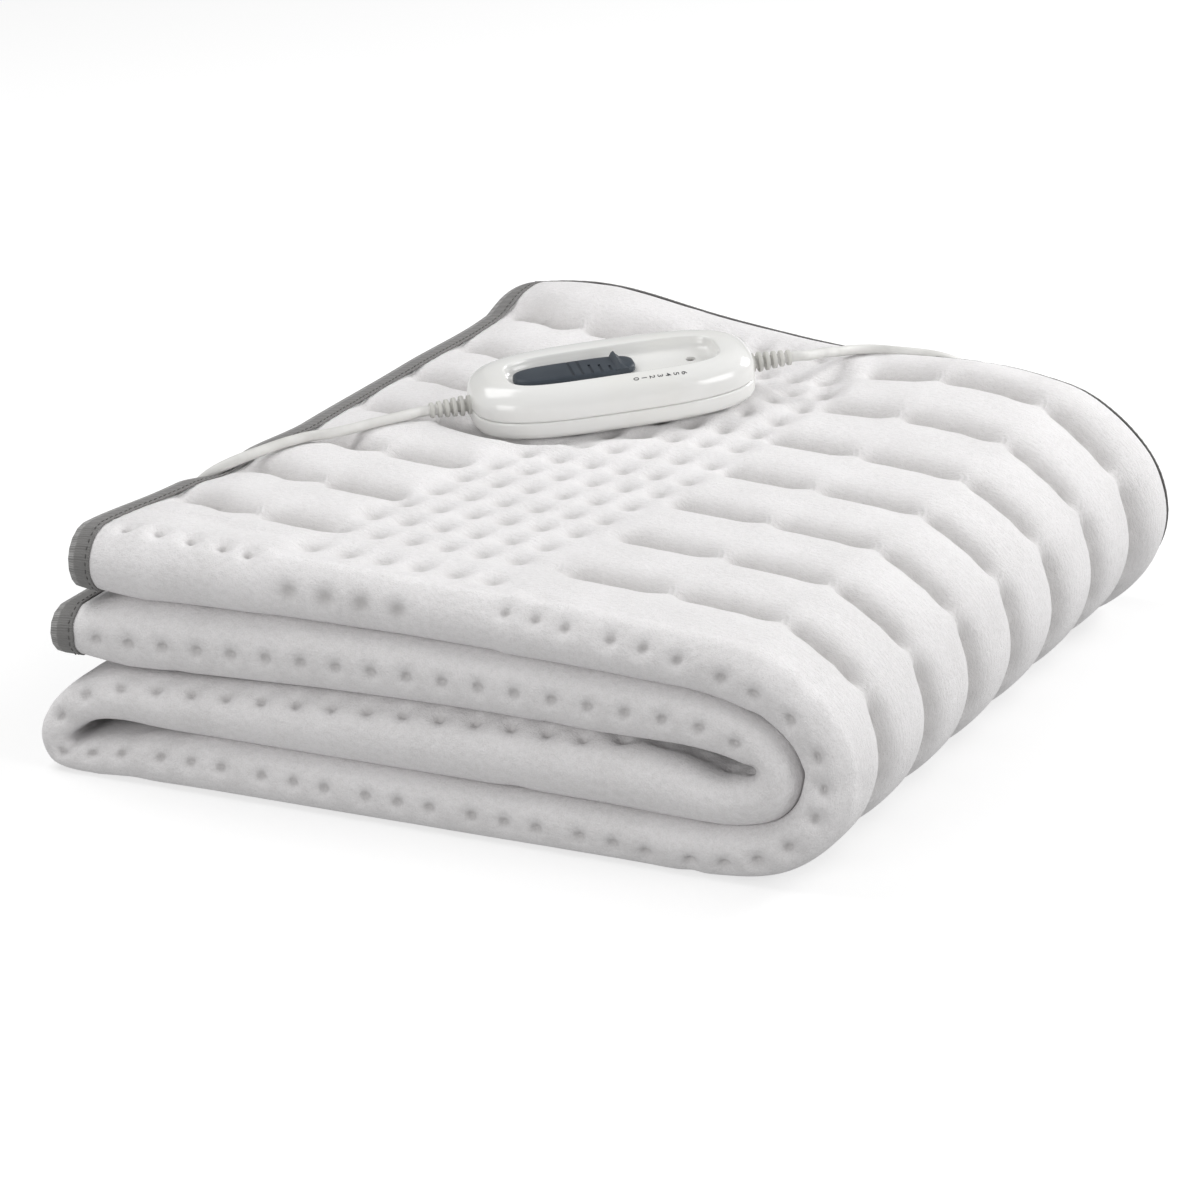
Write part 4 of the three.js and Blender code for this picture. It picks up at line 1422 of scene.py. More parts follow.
@dataclass
class EdgeTape:
    """Woven tape folded over the sheet's edge all the way round, and its two rows of stitches.

    A spot of the edge holds its place along, its place across and the way in from the edge. A
    pucker of the tape's lip holds how fast it comes and goes, where it starts and its height.
    """

    fold: FoldedSheet
    near: float = 0.3
    thickness: float = 1.1
    corner: float = 14.0
    corner_spots: int = 4
    step: float = 3.4
    puckers: tuple = ((0.86, 0.0, 0.3), (1.9, 1.3, 0.25), (0.31, 0.0, 0.15))
    lip: Spot = (7.0, 10.5)
    narrowest: float = 0.3
    stitch_from_edge: float = 9.0
    stitch_pitch: float = 3.3
    stitch_length: float = 1.15
    stitch_radius: float = 0.34
    stitch_sink: float = 0.1
    stitch_clear: float = 0.06

    def long_edge(self, along: np.ndarray, side: float) -> np.ndarray:
        """Spots of one long edge.

        Args:
            along: places along the sheet.
            side: 1 for the face side's edge, -1 for the back side's.

        Returns:
            A row for each place.
        """
        length = self.fold.length
        slope = np.maximum(0, 1 - np.minimum(along, length - along) / self.corner)
        slope = slope * np.where(along < length / 2, 1, -1)
        across = side * self.fold.width / 2 + self.fold.shift(along)
        return np.stack([along, across, slope, np.full_like(along, -side)], 1)

    def end_edge(self, along: float, across: np.ndarray, way: float) -> np.ndarray:
        """Spots of one end.

        Args:
            along: the end's place along the sheet.
            across: places across, from the sheet's middle line.
            way: 1 where the sheet goes on with along, -1 where it ends.

        Returns:
            A row for each place.
        """
        gap = self.fold.width / 2 - np.abs(across)
        slope = -np.copysign(np.maximum(0, 1 - gap / self.corner), across)
        here, ways = np.full_like(across, along), np.full_like(across, way)
        return np.stack([here, across + self.fold.shift_at(along), ways, slope], 1)

    def spots(self) -> np.ndarray:
        """The spots of the whole edge, close together at the corners.

        Returns:
            A row for each spot, from the top layer's end round and back to it.
        """
        length, half, corner = self.fold.length, self.fold.width / 2, self.corner
        close = np.arange(0, corner, corner / self.corner_spots)
        run = np.linspace(corner, length - corner, round((length - 2 * corner) / self.step))
        rise = np.linspace(half - corner, corner - half, round((2 * half - 2 * corner) / self.step))
        along = np.concatenate([close, run, length - close[::-1]])
        across = np.concatenate([half - close[1:], rise, close[:0:-1] - half])
        return np.vstack([
            self.long_edge(along, 1),
            self.end_edge(length, across, -1),
            self.long_edge(along[::-1], -1),
            self.end_edge(0, across[::-1], 1),
        ])

    def at(self, spots: np.ndarray, distance: float, share: float, clear: float) -> np.ndarray:
        """Places of the tape at a distance in from the edge.

        Args:
            spots: spots of the edge.
            distance: how far in.
            share: -1 on the sheet's inner side, 1 on its outer side.
            clear: how far off the sheet.

        Returns:
            A row in the table frame for each spot.
        """
        step = np.arange(len(spots)) * self.step
        pucker = sum(np.sin(step * often + start) * height for often, start, height in self.puckers)
        reach = distance + pucker * smooth(np.float64(distance), *self.lip)
        along = spots[:, 0] + spots[:, 2] * reach
        across = spots[:, 1] + spots[:, 3] * reach
        return self.fold.place(along, across, np.full(len(spots), share), np.maximum(reach, 0), clear)

    def profile(self) -> list[Point]:
        """The tape's section.

        Returns:
            Corners, each a distance in from the edge, a side of the sheet and a clearance.
        """
        near, far = self.near, self.near + self.thickness
        tape = self.fold.tape
        upper = [
            (tape - 0.1, 1, near + 0.1), (tape + 0.2, 1, near + 0.5), (tape, 1, far - 0.15),
            (tape - 0.9, 1, far), (9.0, 1, far - 0.3), (7.6, 1, far + 0.05), (4.5, 1, far + 0.2),
            (1.2, 1, far), (-0.5, 1, far - 0.25), (-far, 0.75, far - 0.6), (-far - 0.8, 0.3, 0.6),
        ]
        lower = [(distance, -side, clear) for distance, side, clear in reversed(upper)]
        return [*upper, *lower, (-near, -1, near), (-near, 1, near)]

    def run(self, spots: np.ndarray) -> np.ndarray:
        """Distance along the edge to each spot, and round to the first again."""
        places = self.at(spots, 0, 1, 1)
        return travelled(np.vstack([places, places[:1]]))

    def build(self, finish: bpy.types.Material) -> bpy.types.Object:
        """Builds the tape.

        Args:
            finish: its material.

        Returns:
            The tape.
        """
        spots, profile = self.spots(), self.profile()
        bm = bmesh.new()
        bmesh.ops.create_grid(bm, x_segments=len(spots), y_segments=len(profile), size=1.0)
        loop = np.array([(distance, side * clear) for distance, side, clear in profile + profile[:1]])
        steps = np.maximum(self.narrowest, np.hypot(*np.diff(loop, axis=0).T))
        wide = np.concatenate([[0], np.cumsum(steps)])
        flat = np.array([v.co for v in bm.verts])
        columns = np.rint((flat[:, 0] + 1) / 2 * len(spots)).astype(int)
        rows = np.rint((flat[:, 1] + 1) / 2 * len(profile)).astype(int)
        layer = bm.loops.layers.uv.new("flat")
        along = self.run(spots)[columns] * MM
        across = (wide[rows] - wide[len(profile) - 2] / 2) * MM
        bm.verts.index_update()
        for corner in (corner for face in bm.faces for corner in face.loops):
            corner[layer].uv = (along[corner.vert.index], across[corner.vert.index])
        rings = np.stack([self.at(spots, *corner) for corner in profile], 1)
        set_places(bm.verts, to_row(rings[columns % len(spots), rows % len(profile)]))
        bmesh.ops.remove_doubles(bm, verts=bm.verts, dist=1e-7)
        bmesh.ops.recalc_face_normals(bm, faces=bm.faces)
        piece = as_object("edge_tape", bm, finish)
        return hand_over(piece, Body.BLANKET, Slot.TAPE, "edge_binding")

    def stitch(self, finish: bpy.types.Material) -> bpy.types.Object:
        """Builds the stitches, one row on each side.

        Args:
            finish: their material.

        Returns:
            The stitches.
        """
        spots = self.spots()
        run = self.run(spots)
        starts = np.arange(round(run[-1] / self.stitch_pitch)) * self.stitch_pitch
        size = [s * MM for s in (self.stitch_radius, self.stitch_radius, self.stitch_length)]
        lowest = (self.stitch_radius + self.stitch_clear) * MM
        clear = self.near + self.thickness - self.stitch_sink
        bm = bmesh.new()
        for side in (1, -1):
            lane = to_row(self.at(spots, self.stitch_from_edge, side, clear))
            lane = np.vstack([lane, lane[:1]])
            lane[:, 2] = np.maximum(lane[:, 2], lowest)
            ends = [along_path(starts + step, run, lane).tolist() for step in (0.0, 1.0)]
            for here, ahead in zip(*ends):
                way = Vector(ahead) - Vector(here)
                if way.length < 1e-6:
                    continue
                turn = way.to_track_quat("Z", "Y").to_matrix().to_4x4()
                matrix = Matrix.Translation(here) @ turn @ Matrix.Diagonal((*size, 1))
                bmesh.ops.create_icosphere(bm, subdivisions=1, radius=1.0, matrix=matrix)
        return hand_over(as_object("tape_stitches", bm, finish), Body.BLANKET, Slot.TAPE)


# The controller


class RingBody:
    """A body drawn up from a circle, ring after ring."""

    def __init__(self, steps: int) -> None:
        """Starts with one ring.

        Args:
            steps: how many points each ring has.
        """
        self.bm = bmesh.new()
        self.angles = np.arange(steps) / steps * TURN
        made = bmesh.ops.create_circle(self.bm, cap_ends=False, segments=steps, radius=1.0)["verts"]
        self.ring = sorted(made, key=lambda v: math.atan2(v.co.y, v.co.x) % (TURN - 1e-4))
        self.started = False

    def edges(self) -> list[bmesh.types.BMEdge]:
        """Edges of the last ring."""
        return [self.bm.edges.get(pair) for pair in zip(self.ring, self.ring[1:] + self.ring[:1])]

    def draw(self, places: np.ndarray) -> "RingBody":
        """Adds a ring, or puts the first one in place.

        Args:
            places: a row for each of its points.

        Returns:
            This body.
        """
        if self.started:
            made = bmesh.ops.extrude_edge_only(self.bm, edges=self.edges())["geom"]
            fresh = {g for g in made if isinstance(g, bmesh.types.BMVert)}
            ahead = [[e.other_vert(v) for e in v.link_edges] for v in self.ring]
            self.ring = [next(v for v in near if v in fresh) for near in ahead]
        self.started = True
        set_places(self.ring, places)
        return self

    def draw_ovals(self, size: Point, rings: Iterable[Spot], shift: Spot = (0, 0)) -> "RingBody":
        """Adds flat rings on one superellipse.

        Args:
            size: length, width and squareness.
            rings: how far each lies inside that size, and its height.
            shift: where their middle is.

        Returns:
            This body.
        """
        for inset, z in rings:
            self.draw(oval(self.angles, size, inset, z, shift))
        return self

    def cap(self) -> "RingBody":
        """Closes the last ring with one face."""
        bmesh.ops.edgeloop_fill(self.bm, edges=self.edges())
        return self

    def done(self) -> bmesh.types.BMesh:
        """The finished body, facing outwards."""
        bmesh.ops.recalc_face_normals(self.bm, faces=self.bm.faces)
        return self.bm


def oval(angles: np.ndarray, size: Point, inset: float, z: float, shift: Spot = (0, 0)) -> np.ndarray:
    """A flat ring on a superellipse.

    Args:
        angles: where its points are.
        size: length, width and squareness.
        inset: how far the ring lies inside that size.
        z: its height.
        shift: where its middle is.

    Returns:
        A row for each point.
    """
    length, width, square = size
    c, s = np.cos(angles), np.sin(angles)
    x = np.sign(c) * (length / 2 - inset) * np.abs(c) ** (2 / square) + shift[0]
    y = np.sign(s) * (width / 2 - inset) * np.abs(s) ** (2 / square) + shift[1]
    return np.stack([x, y, np.full_like(x, z)], 1)


def cut_away(piece: bpy.types.Object, tool: bpy.types.Object, operation: str = "DIFFERENCE") -> None:
    """Cuts a tool's shape out of a piece, or joins it on, and removes the tool.

    Args:
        piece: the piece that is changed.
        tool: the other shape.
        operation: what the Boolean modifier does.
    """
    change = piece.modifiers.new("cut", "BOOLEAN")
    change.operation, change.solver, change.object = operation, "EXACT", tool
    shape = as_mesh(piece)
    piece.modifiers.clear()
    piece.data = shape
    bpy.data.objects.remove(tool)


@dataclass
class Controller:
    """The hand controller: two shells, the slider in its recess, the lamp and the printed scale.

    A size is a length, a width and a squareness. Places are in the controller's frame, from the
    middle of its base. Only print_lift, how far the print stands off, is in metres. A crease is
    the angle in degrees beyond which an edge is shaded as one.
    """

    place: HandsetPlace
    finishes: Finishes
    height: float = 24.6
    square: float = 3.0
    parting: float = 9.5
    parting_gap: float = 0.3
    lip: tuple = ((0, 1.2), (0.06, 0.5), (0.35, 0.08))
    lip_inset: float = 0.8
    base_radius: float = 4.5
    base_rings: int = 6
    crown_inset: float = 13.0
    crown_height: float = 10.0
    crown_rings: int = 14
    crown_kept: int = 12
    recess: Point = (102.6, 32.3, 4.0)
    recess_depth: float = 5.5
    recess_edge: tuple = ((-1.15, 0.0), (-0.75, 0.06), (-0.4, 0.22), (-0.12, 0.5))
    recess_wall: tuple = (
        (0.1, 3.6), (0.5, 2.2), (1.1, 1.1), (1.9, 0.45), (3.0, 0.1), (4.2, 0.0), (9.0, 0.0),
    )
    shift: float = -2.6
    slider: Point = (59.0, 18.5, 3.4)
    slider_height: float = 3.9
    slider_gap: float = 0.3
    slider_start: float = -18.4
    slider_foot: tuple = ((0.5, 0.0), (0.12, 0.3), (0, 0.9))
    slider_head: tuple = ((0.12, 1.3), (0.5, 0.7), (1.1, 0.28), (2.0, 0.06), (3.4, 0.0))
    grooves: tuple = (
        (-20.2, -10.8, 6.6), (-15.7, -10.8, 6.0), (-11.0, -10.8, -1.2), (-6.4, -10.8, -2.6),
        (-1.9, -10.8, -5.2),
    )
    groove_width: float = 1.15
    groove_height: float = 2.1
    groove_lift: float = 0.35
    groove_lean: float = -14.0
    lamp_x: float = 38.7
    lamp_radius: float = 1.95
    lamp_flatness: float = 0.42
    lamp_sink: float = 1.62
    lamp_hole: Point = (2.1, 2.7, 3.4)
    digit_size: float = 3.7
    digit_weight: float = 0.05
    digit_pitch: float = 3.9
    digit_start: Point = (6.6, -24.3, 30.0)
    print_lift: float = 0.00004
    lead_height: float = 11.0
    steps: int = 128
    crease: float = 50.0
    top_crease: float = 40.0
    slider_crease: float = 32.0

    @property
    def outline(self) -> Point:
        """Length, width and squareness of the shells."""
        return (self.place.length, self.place.width, self.square)

    @property
    def recess_floor(self) -> float:
        """Height of the recess's floor."""
        return self.height - self.recess_depth

    def inset_at(self, x: np.ndarray, y: np.ndarray) -> np.ndarray:
        """How far inside the outline places lie, found by halving.

        Args:
            x: their x.
            y: their y.

        Returns:
            The distance for each.
        """
        low, high = np.zeros_like(x), np.full_like(x, self.place.width / 2 - 0.01)
        for _ in range(30):
            middle = (low + high) / 2
            a = np.abs(x) / (self.place.length / 2 - middle)
            b = np.abs(y) / (self.place.width / 2 - middle)
            outside = a**self.square + b**self.square > 1
            low, high = np.where(outside, low, middle), np.where(outside, middle, high)
        return low

    def crown(self, x: np.ndarray, y: np.ndarray) -> np.ndarray:
        """Height of the crown.

        Args:
            x: places' x.
            y: their y.

        Returns:
            The height above each.
        """
        inset = np.minimum(self.inset_at(x, y), self.crown_inset)
        rise = np.sqrt(np.clip(1 - (1 - inset / self.crown_inset) ** 2, 0, 1))
        return self.height - self.crown_height + self.crown_height * rise

    def base(self) -> bpy.types.Object:
        """Builds the lower shell.

        Returns:
            The shell.
        """
        radius = self.base_radius
        turns = [i / self.base_rings * math.pi / 2 for i in range(self.base_rings + 1)]
        rings = [(radius * (1 - math.sin(turn)), radius * (1 - math.cos(turn))) for turn in turns]
        rings += [(inset, self.parting - drop) for inset, drop in self.lip]
        rings.append((self.lip_inset, self.parting))
        body = RingBody(self.steps).draw_ovals(self.outline, rings[:1]).cap()
        body.draw_ovals(self.outline, rings[1:]).cap()
        return self.finish("controller_base", body.done(), self.finishes.shell, Slot.SHELL, "handset_base")

    def top(self) -> bpy.types.Object:
        """Builds the upper shell with its recess.

        Returns:
            The shell.
        """
        low = self.parting + self.parting_gap
        crown_base = self.height - self.crown_height
        rings = [(self.lip_inset, low), *((inset, low + rise) for inset, rise in reversed(self.lip))]
        rings.append((0, crown_base - 1.5))
        for turn in (i / self.crown_rings * math.pi / 2 for i in range(self.crown_kept)):
            inset = self.crown_inset * (1 - math.cos(turn))
            rings.append((inset, crown_base + self.crown_height * math.sin(turn)))
        body = RingBody(self.steps).draw_ovals(self.outline, rings[:1]).cap()
        body.draw_ovals(self.outline, rings[1:])
        floor, middle = self.recess_floor, (0, self.shift)
        for inset, drop in self.recess_edge:
            ring = oval(body.angles, self.recess, inset, 0, middle)
            ring[:, 2] = self.crown(ring[:, 0], ring[:, 1]) - drop
            body.draw(ring)
        body.draw_ovals(self.recess, [(inset, floor + rise) for inset, rise in self.recess_wall], middle)
        shape = body.cap().done()
        piece = self.finish("controller_top", shape, self.finishes.shell, Slot.SHELL, "handset_top")
        hole = bmesh.new()
        low_radius, high_radius, depth = self.lamp_hole
        bmesh.ops.create_cone(
            hole, cap_ends=True, segments=32, radius1=low_radius, radius2=high_radius, depth=depth,
            matrix=Matrix.Translation((self.lamp_x, self.shift, floor)),
        )
        hole.transform(self.place.to_row())
        cut_away(piece, as_object("hole", hole, self.finishes.shell))
        crease_edges(piece, self.top_crease)
        return piece

    def lamp(self) -> bpy.types.Object:
        """Builds the lamp, a low dome in its hole.

        Returns:
            The lamp.
        """
        bm = bmesh.new()
        floor = self.recess_floor - self.lamp_sink
        flatten = Matrix.Diagonal((1, 1, self.lamp_flatness, 1))
        matrix = Matrix.Translation((self.lamp_x, self.shift, floor)) @ flatten
        bmesh.ops.create_uvsphere(bm, u_segments=28, v_segments=14, radius=self.lamp_radius, matrix=matrix)
        bmesh.ops.bisect_plane(
            bm, geom=everything(bm), plane_co=(0, 0, floor), plane_no=(0, 0, -1), clear_outer=True
        )
        bmesh.ops.holes_fill(bm, edges=[e for e in bm.edges if e.is_boundary])
        bmesh.ops.recalc_face_normals(bm, faces=bm.faces)
        return self.finish("controller_lamp", bm, self.finishes.lens, Slot.LENS, "pilot_lamp")

    def slide(self) -> bpy.types.Object:
        """Builds the slider with its grooves and its thumb fin.

        Returns:
            The slider.
        """
        slate = self.finishes.slate
        low = self.recess_floor + self.slider_gap
        top = low + self.slider_height
        rings = [(inset, low + rise) for inset, rise in self.slider_foot]
        rings += [(inset, low + (self.slider_height - drop)) for inset, drop in self.slider_head]
        middle = (self.slider_start, self.shift)
        body = RingBody(self.steps).draw_ovals(self.slider, rings[:1], middle).cap()
        shape = body.draw_ovals(self.slider, rings[1:], middle).cap().done()
        piece = self.finish("controller_slider", shape, slate, Slot.SLATE, "heat_slider", Body.SLIDER)
        lean = Matrix.Rotation(math.radians(self.groove_lean), 4, "Y")
        for x, start, end in self.grooves:
            groove = bmesh.new()
            spot = Matrix.Translation((x, (start + end) / 2, top + self.groove_lift))
            size = Matrix.Diagonal((self.groove_width, end - start, self.groove_height, 1))
            bmesh.ops.create_cube(groove, size=1.0, matrix=spot @ lean @ size)
            groove.transform(self.place.to_row())
            cut_away(piece, as_object("groove", groove, slate))
        fin = Fin().body(self.shift, top)
        fin.transform(self.place.to_row())
        cut_away(piece, as_object("fin", fin, slate), "UNION")
        crease_edges(piece, self.slider_crease)
        return piece

    def digit(self, number: int) -> bpy.types.Mesh:
        """Sets one digit above its place on the crown.

        Args:
            number: the digit.

        Returns:
            Its flat mesh, in the row frame.
        """
        text = bpy.data.curves.new("digit", "FONT")
        text.body, text.size, text.offset = str(number), self.digit_size, self.digit_weight
        text.align_x, text.align_y = "CENTER", "CENTER"
        holder = in_scene("digit", text)
        bpy.context.view_layer.update()
        flat = as_mesh(holder)
        bpy.data.objects.remove(holder)
        x, y, z = self.digit_start
        at = Matrix.Translation((x + self.digit_pitch * number, y, z))
        flat.transform(self.place.to_row() @ (at @ Matrix.Rotation(-math.pi / 2, 4, "Z")))
        return flat

    def scale(self, top: bpy.types.Object) -> bpy.types.Object:
        """Prints the numbers 0 to 6 on the crown beside the recess.

        Args:
            top: the upper shell.

        Returns:
            The print.
        """
        tree = BVHTree.FromObject(top, bpy.context.evaluated_depsgraph_get())
        down = (self.place.to_row().to_3x3() @ Vector((0, 0, -1))).normalized()
        bm = bmesh.new()
        for number in range(7):
            bm.from_mesh(self.digit(number))
        bmesh.ops.triangulate(bm, faces=bm.faces)
        bmesh.ops.subdivide_edges(bm, edges=bm.edges[:], cuts=1)
        for vert in bm.verts:
            hit = tree.ray_cast(vert.co, down)
            if hit[0] is not None:
                vert.co = hit[0] - down * self.print_lift
        return hand_over(as_object("scale_print", bm, self.finishes.ink), Body.BLANKET, Slot.SLATE)

    def finish(
        self,
        name: str,
        bm: bmesh.types.BMesh,
        material: bpy.types.Material,
        slot: Slot,
        node: str,
        body: Body = Body.BLANKET,
    ) -> bpy.types.Object:
        """Places a piece made in the controller's frame and hands it over.

        Args:
            name: the piece's name.
            bm: its shape.
            material: its material.
            slot: the record's slot for its finish.
            node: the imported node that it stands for.
            body: the body that it moves with.

        Returns:
            The piece.
        """
        bm.transform(self.place.to_row())
        piece = as_object(name, bm, material)
        crease_edges(piece, self.crease)
        return hand_over(piece, body, slot, node)

    def boots(self) -> None:
        """Builds the two ribbed strain reliefs."""
        for end, name in ((-1, "blanket"), (1, "mains")):
            boot = Boot().body()
            turn = Matrix.Rotation(math.pi if end < 0 else 0.0, 4, "Z")
            boot.transform(Matrix.Translation((end * self.place.length / 2, 0, self.lead_height)) @ turn)
            self.finish(f"boot_{name}", boot, self.finishes.boot, Slot.CORD, f"strain_relief_{name}")


@dataclass(frozen=True)
class Fin:
    """The slider's blade-like thumb fin, highest at its far end.

    A place across it counts from -1 to 1, a place along it from 0 to 1.
    """

    x: float = 3.6
    ends: Spot = (-8.2, 7.4)
    sweep: float = 0.9
    half_width: float = 2.3
    near_extra: float = 0.6
    lowest: float = 0.5
    rise: float = 3.1
    rise_power: float = 0.8
    ridge: float = -0.25
    ridge_reach: Spot = (0.75, 1.25)
    ridge_power: float = 1.35
    sunk: float = 0.9
    rim: float = 0.25

    def body(self, y: float, z: float) -> bmesh.types.BMesh:
        """Builds the fin.

        Args:
            y: the slider's middle line.
            z: height of the slider's top.

        Returns:
            The fin, in the controller's frame.
        """
        bm = bmesh.new()
        bmesh.ops.create_grid(bm, x_segments=4, y_segments=10, size=1.0)
        bmesh.ops.solidify(bm, geom=bm.faces[:], thickness=1.0)
        near, far = (y + end for end in self.ends)
        top = max(vert.co.z for vert in bm.verts)
        for vert in bm.verts:
            share, lean = (vert.co.y + 1) / 2, vert.co.x
            height = z - self.sunk
            if top - vert.co.z < 0.5:
                peak = self.lowest + self.rise * share**self.rise_power
                near_ridge = 1 - abs(lean - self.ridge) / self.ridge_reach[lean > self.ridge]
                height = z - self.rim + peak * max(0.0, near_ridge) ** self.ridge_power
            wide = self.half_width + self.near_extra * (1 - share)
            x = self.x + wide * lean - self.sweep * share
            vert.co = (x, near + (far - near) * share, height)
        bmesh.ops.recalc_face_normals(bm, faces=bm.faces)
        return bm


@dataclass(frozen=True)
class Boot:
    """Ribbed taper round a lead, drawn out along x."""

    length: float = 19.6
    root: float = 5.0
    tip: float = 3.6
    ribs: int = 5
    gap_depth: float = 1.9
    collar: float = 1.6
    steps: int = 36

    def profile(self) -> list[Spot]:
        """The outline that is turned.

        Returns:
            Its corners: a place along x and a radius.
        """
        pitch = (self.length - self.collar) / self.ribs
        corners = [(-0.6, 0), (-0.6, self.root - 0.4), (self.collar * 0.8, self.root - 0.4)]
        for i in range(self.ribs):
            radius = self.root + (self.tip - self.root) * (i + 0.5) / self.ribs
            start = self.collar + i * pitch
            corners += [
                (start, radius - self.gap_depth), (start + 0.42 * pitch, radius - self.gap_depth),
                (start + 0.46 * pitch, radius - 0.25), (start + 0.54 * pitch, radius),
                (start + 0.9 * pitch, radius - 0.05), (start + 0.98 * pitch, radius - 0.3),
            ]
        return [*corners, (self.length, self.tip - 0.7), (self.length + 0.1, 0)]

    def body(self) -> bmesh.types.BMesh:
        """Turns the profile round its axis.

        Returns:
            The boot.
        """
        bm = bmesh.new()
        verts = [bm.verts.new((x, radius, 0)) for x, radius in self.profile()]
        edges = [bm.edges.new(pair) for pair in zip(verts, verts[1:])]
        bmesh.ops.spin(
            bm, geom=verts + edges, cent=(0, 0, 0), axis=(1, 0, 0), angle=TURN, steps=self.steps,
            use_merge=True,
        )
        bmesh.ops.remove_doubles(bm, verts=bm.verts, dist=1e-4)
        bmesh.ops.recalc_face_normals(bm, faces=bm.faces)
        return bm


# The leads


@dataclass
class Leads:
    """The lead to the blanket and the mains lead with its stowed coil, tie and plug.

    The coil's turns go in and out in threes. Off radius holds how far the lead's end lies from
    the coil's middle, by turns past the last one.
    """

    place: HandsetPlace
    finishes: Finishes
    diameter: float = 5.0
    step: float = 2.2
    fineness: int = 24
    relief_tip: float = 88.6
    relief_height: float = 11.0
    relief_steps: tuple = (-8, 0, 5)
    blanket_route: tuple = (
        (90.5, 198, 120.9), (84.5, 187, 120.9), (80, 178, 121), (75, 167, 121.1), (69.6, 158, 121.1),
        (62, 151, 120.7), (56, 141, 120.3), (51.2, 128.5, 119.9), (46.8, 117.5, 119.2),
        (41.5, 110.5, 117.2), (35, 106.5, 113.4), (28.5, 105.5, 107.8), (23.2, 107.8, 100.5),
        (20, 114, 93), (18.3, 123, 87.6), (17.6, 134, 85), (17.8, 146, 84), (18.5, 160, 83.4),
        (19.3, 180, 83.3), (20.3, 210, 83.4), (21.6, 240, 83.5), (22.8, 270, 83.6), (24.3, 298, 85),
        (24.3, 310.55, 85.85), (24.3, 316, 85.85),
    )
    mains_route: tuple = (
        (240.5, 328, 130.8), (241.5, 341, 128.4), (240.5, 355, 124.9), (240, 367, 121.6),
        (243, 378.5, 119.6), (251, 386.5, 118.6), (262.5, 390, 118), (273, 394, 117),
        (281.5, 399, 114.9), (288.5, 405.5, 110.8), (295, 412.5, 105), (301, 419.5, 96),
        (306, 426, 83), (308.5, 431.5, 66), (309, 440, 46), (301, 445, 27), (288, 452, 12),
        (271, 459, 5), (250, 463, 3.4), (225, 464.6, 3.4), (200, 464.8, 3.4),
    )
    coil: Spot = (175.0, 500.0)
    coil_radius: float = 27.5
    coil_turns: int = 11
    turn_pitch: float = 5.15
    level_pitch: float = 5.3
    level_rise: float = 0.34
    coil_low: float = 3.4
    off_radius: tuple = ((0, 30.1), (0.1, 33.2), (0.2, 37.8), (0.3, 39.2), (0.4, 39.5), (0.5, 39.4))
    off_drop: Spot = (0.14, 0.46)
    turn_points: int = 40
    plug_tail: Point = (178.5, 539.4, 7.0)
    strap: tuple = (
        (147.5, 0.3), (156.2, 0.35), (158.4, 2.0), (158.6, 5.5), (157.9, 12), (158.4, 19.5),
        (156.6, 22.0), (152, 22.6), (147.2, 22.2), (143.6, 20.2), (140.6, 17.8), (138.6, 14.6),
        (137.9, 9), (138.3, 2.6), (140.5, 0.5),
    )
    strap_rows: tuple = (-4.5, -3.9, 0.0, 3.9, 4.5)
    strap_steps: int = 60
    strap_thickness: float = 0.6
    lap_at: Spot = (137.25, 8.4)
    lap_size: Point = (0.55, 8.6, 10.5)
    lap_edge: float = 0.22
    strap_crease: float = 40.0

    def from_handset(self, end: float) -> np.ndarray:
        """The lead's first places, inside its strain relief and just out of it.

        Args:
            end: -1 for the controller's left end, 1 for its right end.

        Returns:
            A row for each place.
        """
        matrix = self.place.matrix()
        spots = [self.relief_tip + step for step in self.relief_steps]
        return np.array([matrix @ Vector((end * x, 0, self.relief_height)) for x in spots])

    def winding(self) -> np.ndarray:
        """The coil: three turns in, three out, three in, two out, then off to the plug.

        Returns:
            A row for each point of the lead.
        """
        point = 1 / self.turn_points
        turns = np.arange(0, self.coil_turns + 0.001, point)
        fold = turns % 6
        inward = np.where(fold <= 3, fold, 6 - fold)
        radius = self.coil_radius + 1.5 * self.turn_pitch - self.turn_pitch * inward
        height = np.full_like(turns, self.coil_low)
        for level in (1, 2, 3):
            height += self.level_pitch * smooth(turns, 3 * level, 3 * level + self.level_rise)
        off = np.arange(point, 0.501, point)
        radius = np.concatenate([radius, np.interp(off, *np.array(self.off_radius).T)])
        top = self.coil_low + 3 * self.level_pitch
        height = np.concatenate([height, top - (top - self.plug_tail[2]) * smooth(off, *self.off_drop)])
        angle = -math.pi / 2 - TURN * np.concatenate([turns, self.coil_turns + off])
        x = self.coil[0] + radius * np.cos(angle)
        y = self.coil[1] + radius * np.sin(angle)
        return np.vstack([np.stack([x, y, height], 1), self.plug_tail])

    def curve(self, name: str, stops: np.ndarray) -> bpy.types.Object:
        """Draws a round lead through stops, with a point every few millimetres.

        Args:
            name: the lead's name.
            stops: a row for each point passed.

        Returns:
            The lead.
        """
        rough = curve_points(stops, np.linspace(0, 1, self.fineness * len(stops)))
        run = travelled(rough)
        at = np.linspace(0, run[-1], round(run[-1] / self.step) + 1)
        places = to_row(along_path(at, run, rough))
        shape = bpy.data.curves.new(name, "CURVE")
        shape.dimensions = "3D"
        shape.bevel_depth = self.diameter / 2 * MM
        shape.bevel_resolution = 4
        shape.use_fill_caps = True
        spline = shape.splines.new("POLY")
        spline.points.add(len(places) - 1)
        for point, place in zip(spline.points, places.tolist()):
            point.co = (*place, 1.0)
        shape.materials.append(self.finishes.cord)
        return in_scene(name, shape)

    def to_blanket(self) -> None:
        """Lays the lead from the controller to the inlet on the sheet's edge."""
        start = self.from_handset(-1)
        lead = self.curve("lead_to_blanket", np.vstack([start, self.blanket_route]))
        hand_over(lead, Body.BLANKET, Slot.CORD, "blanket_lead")

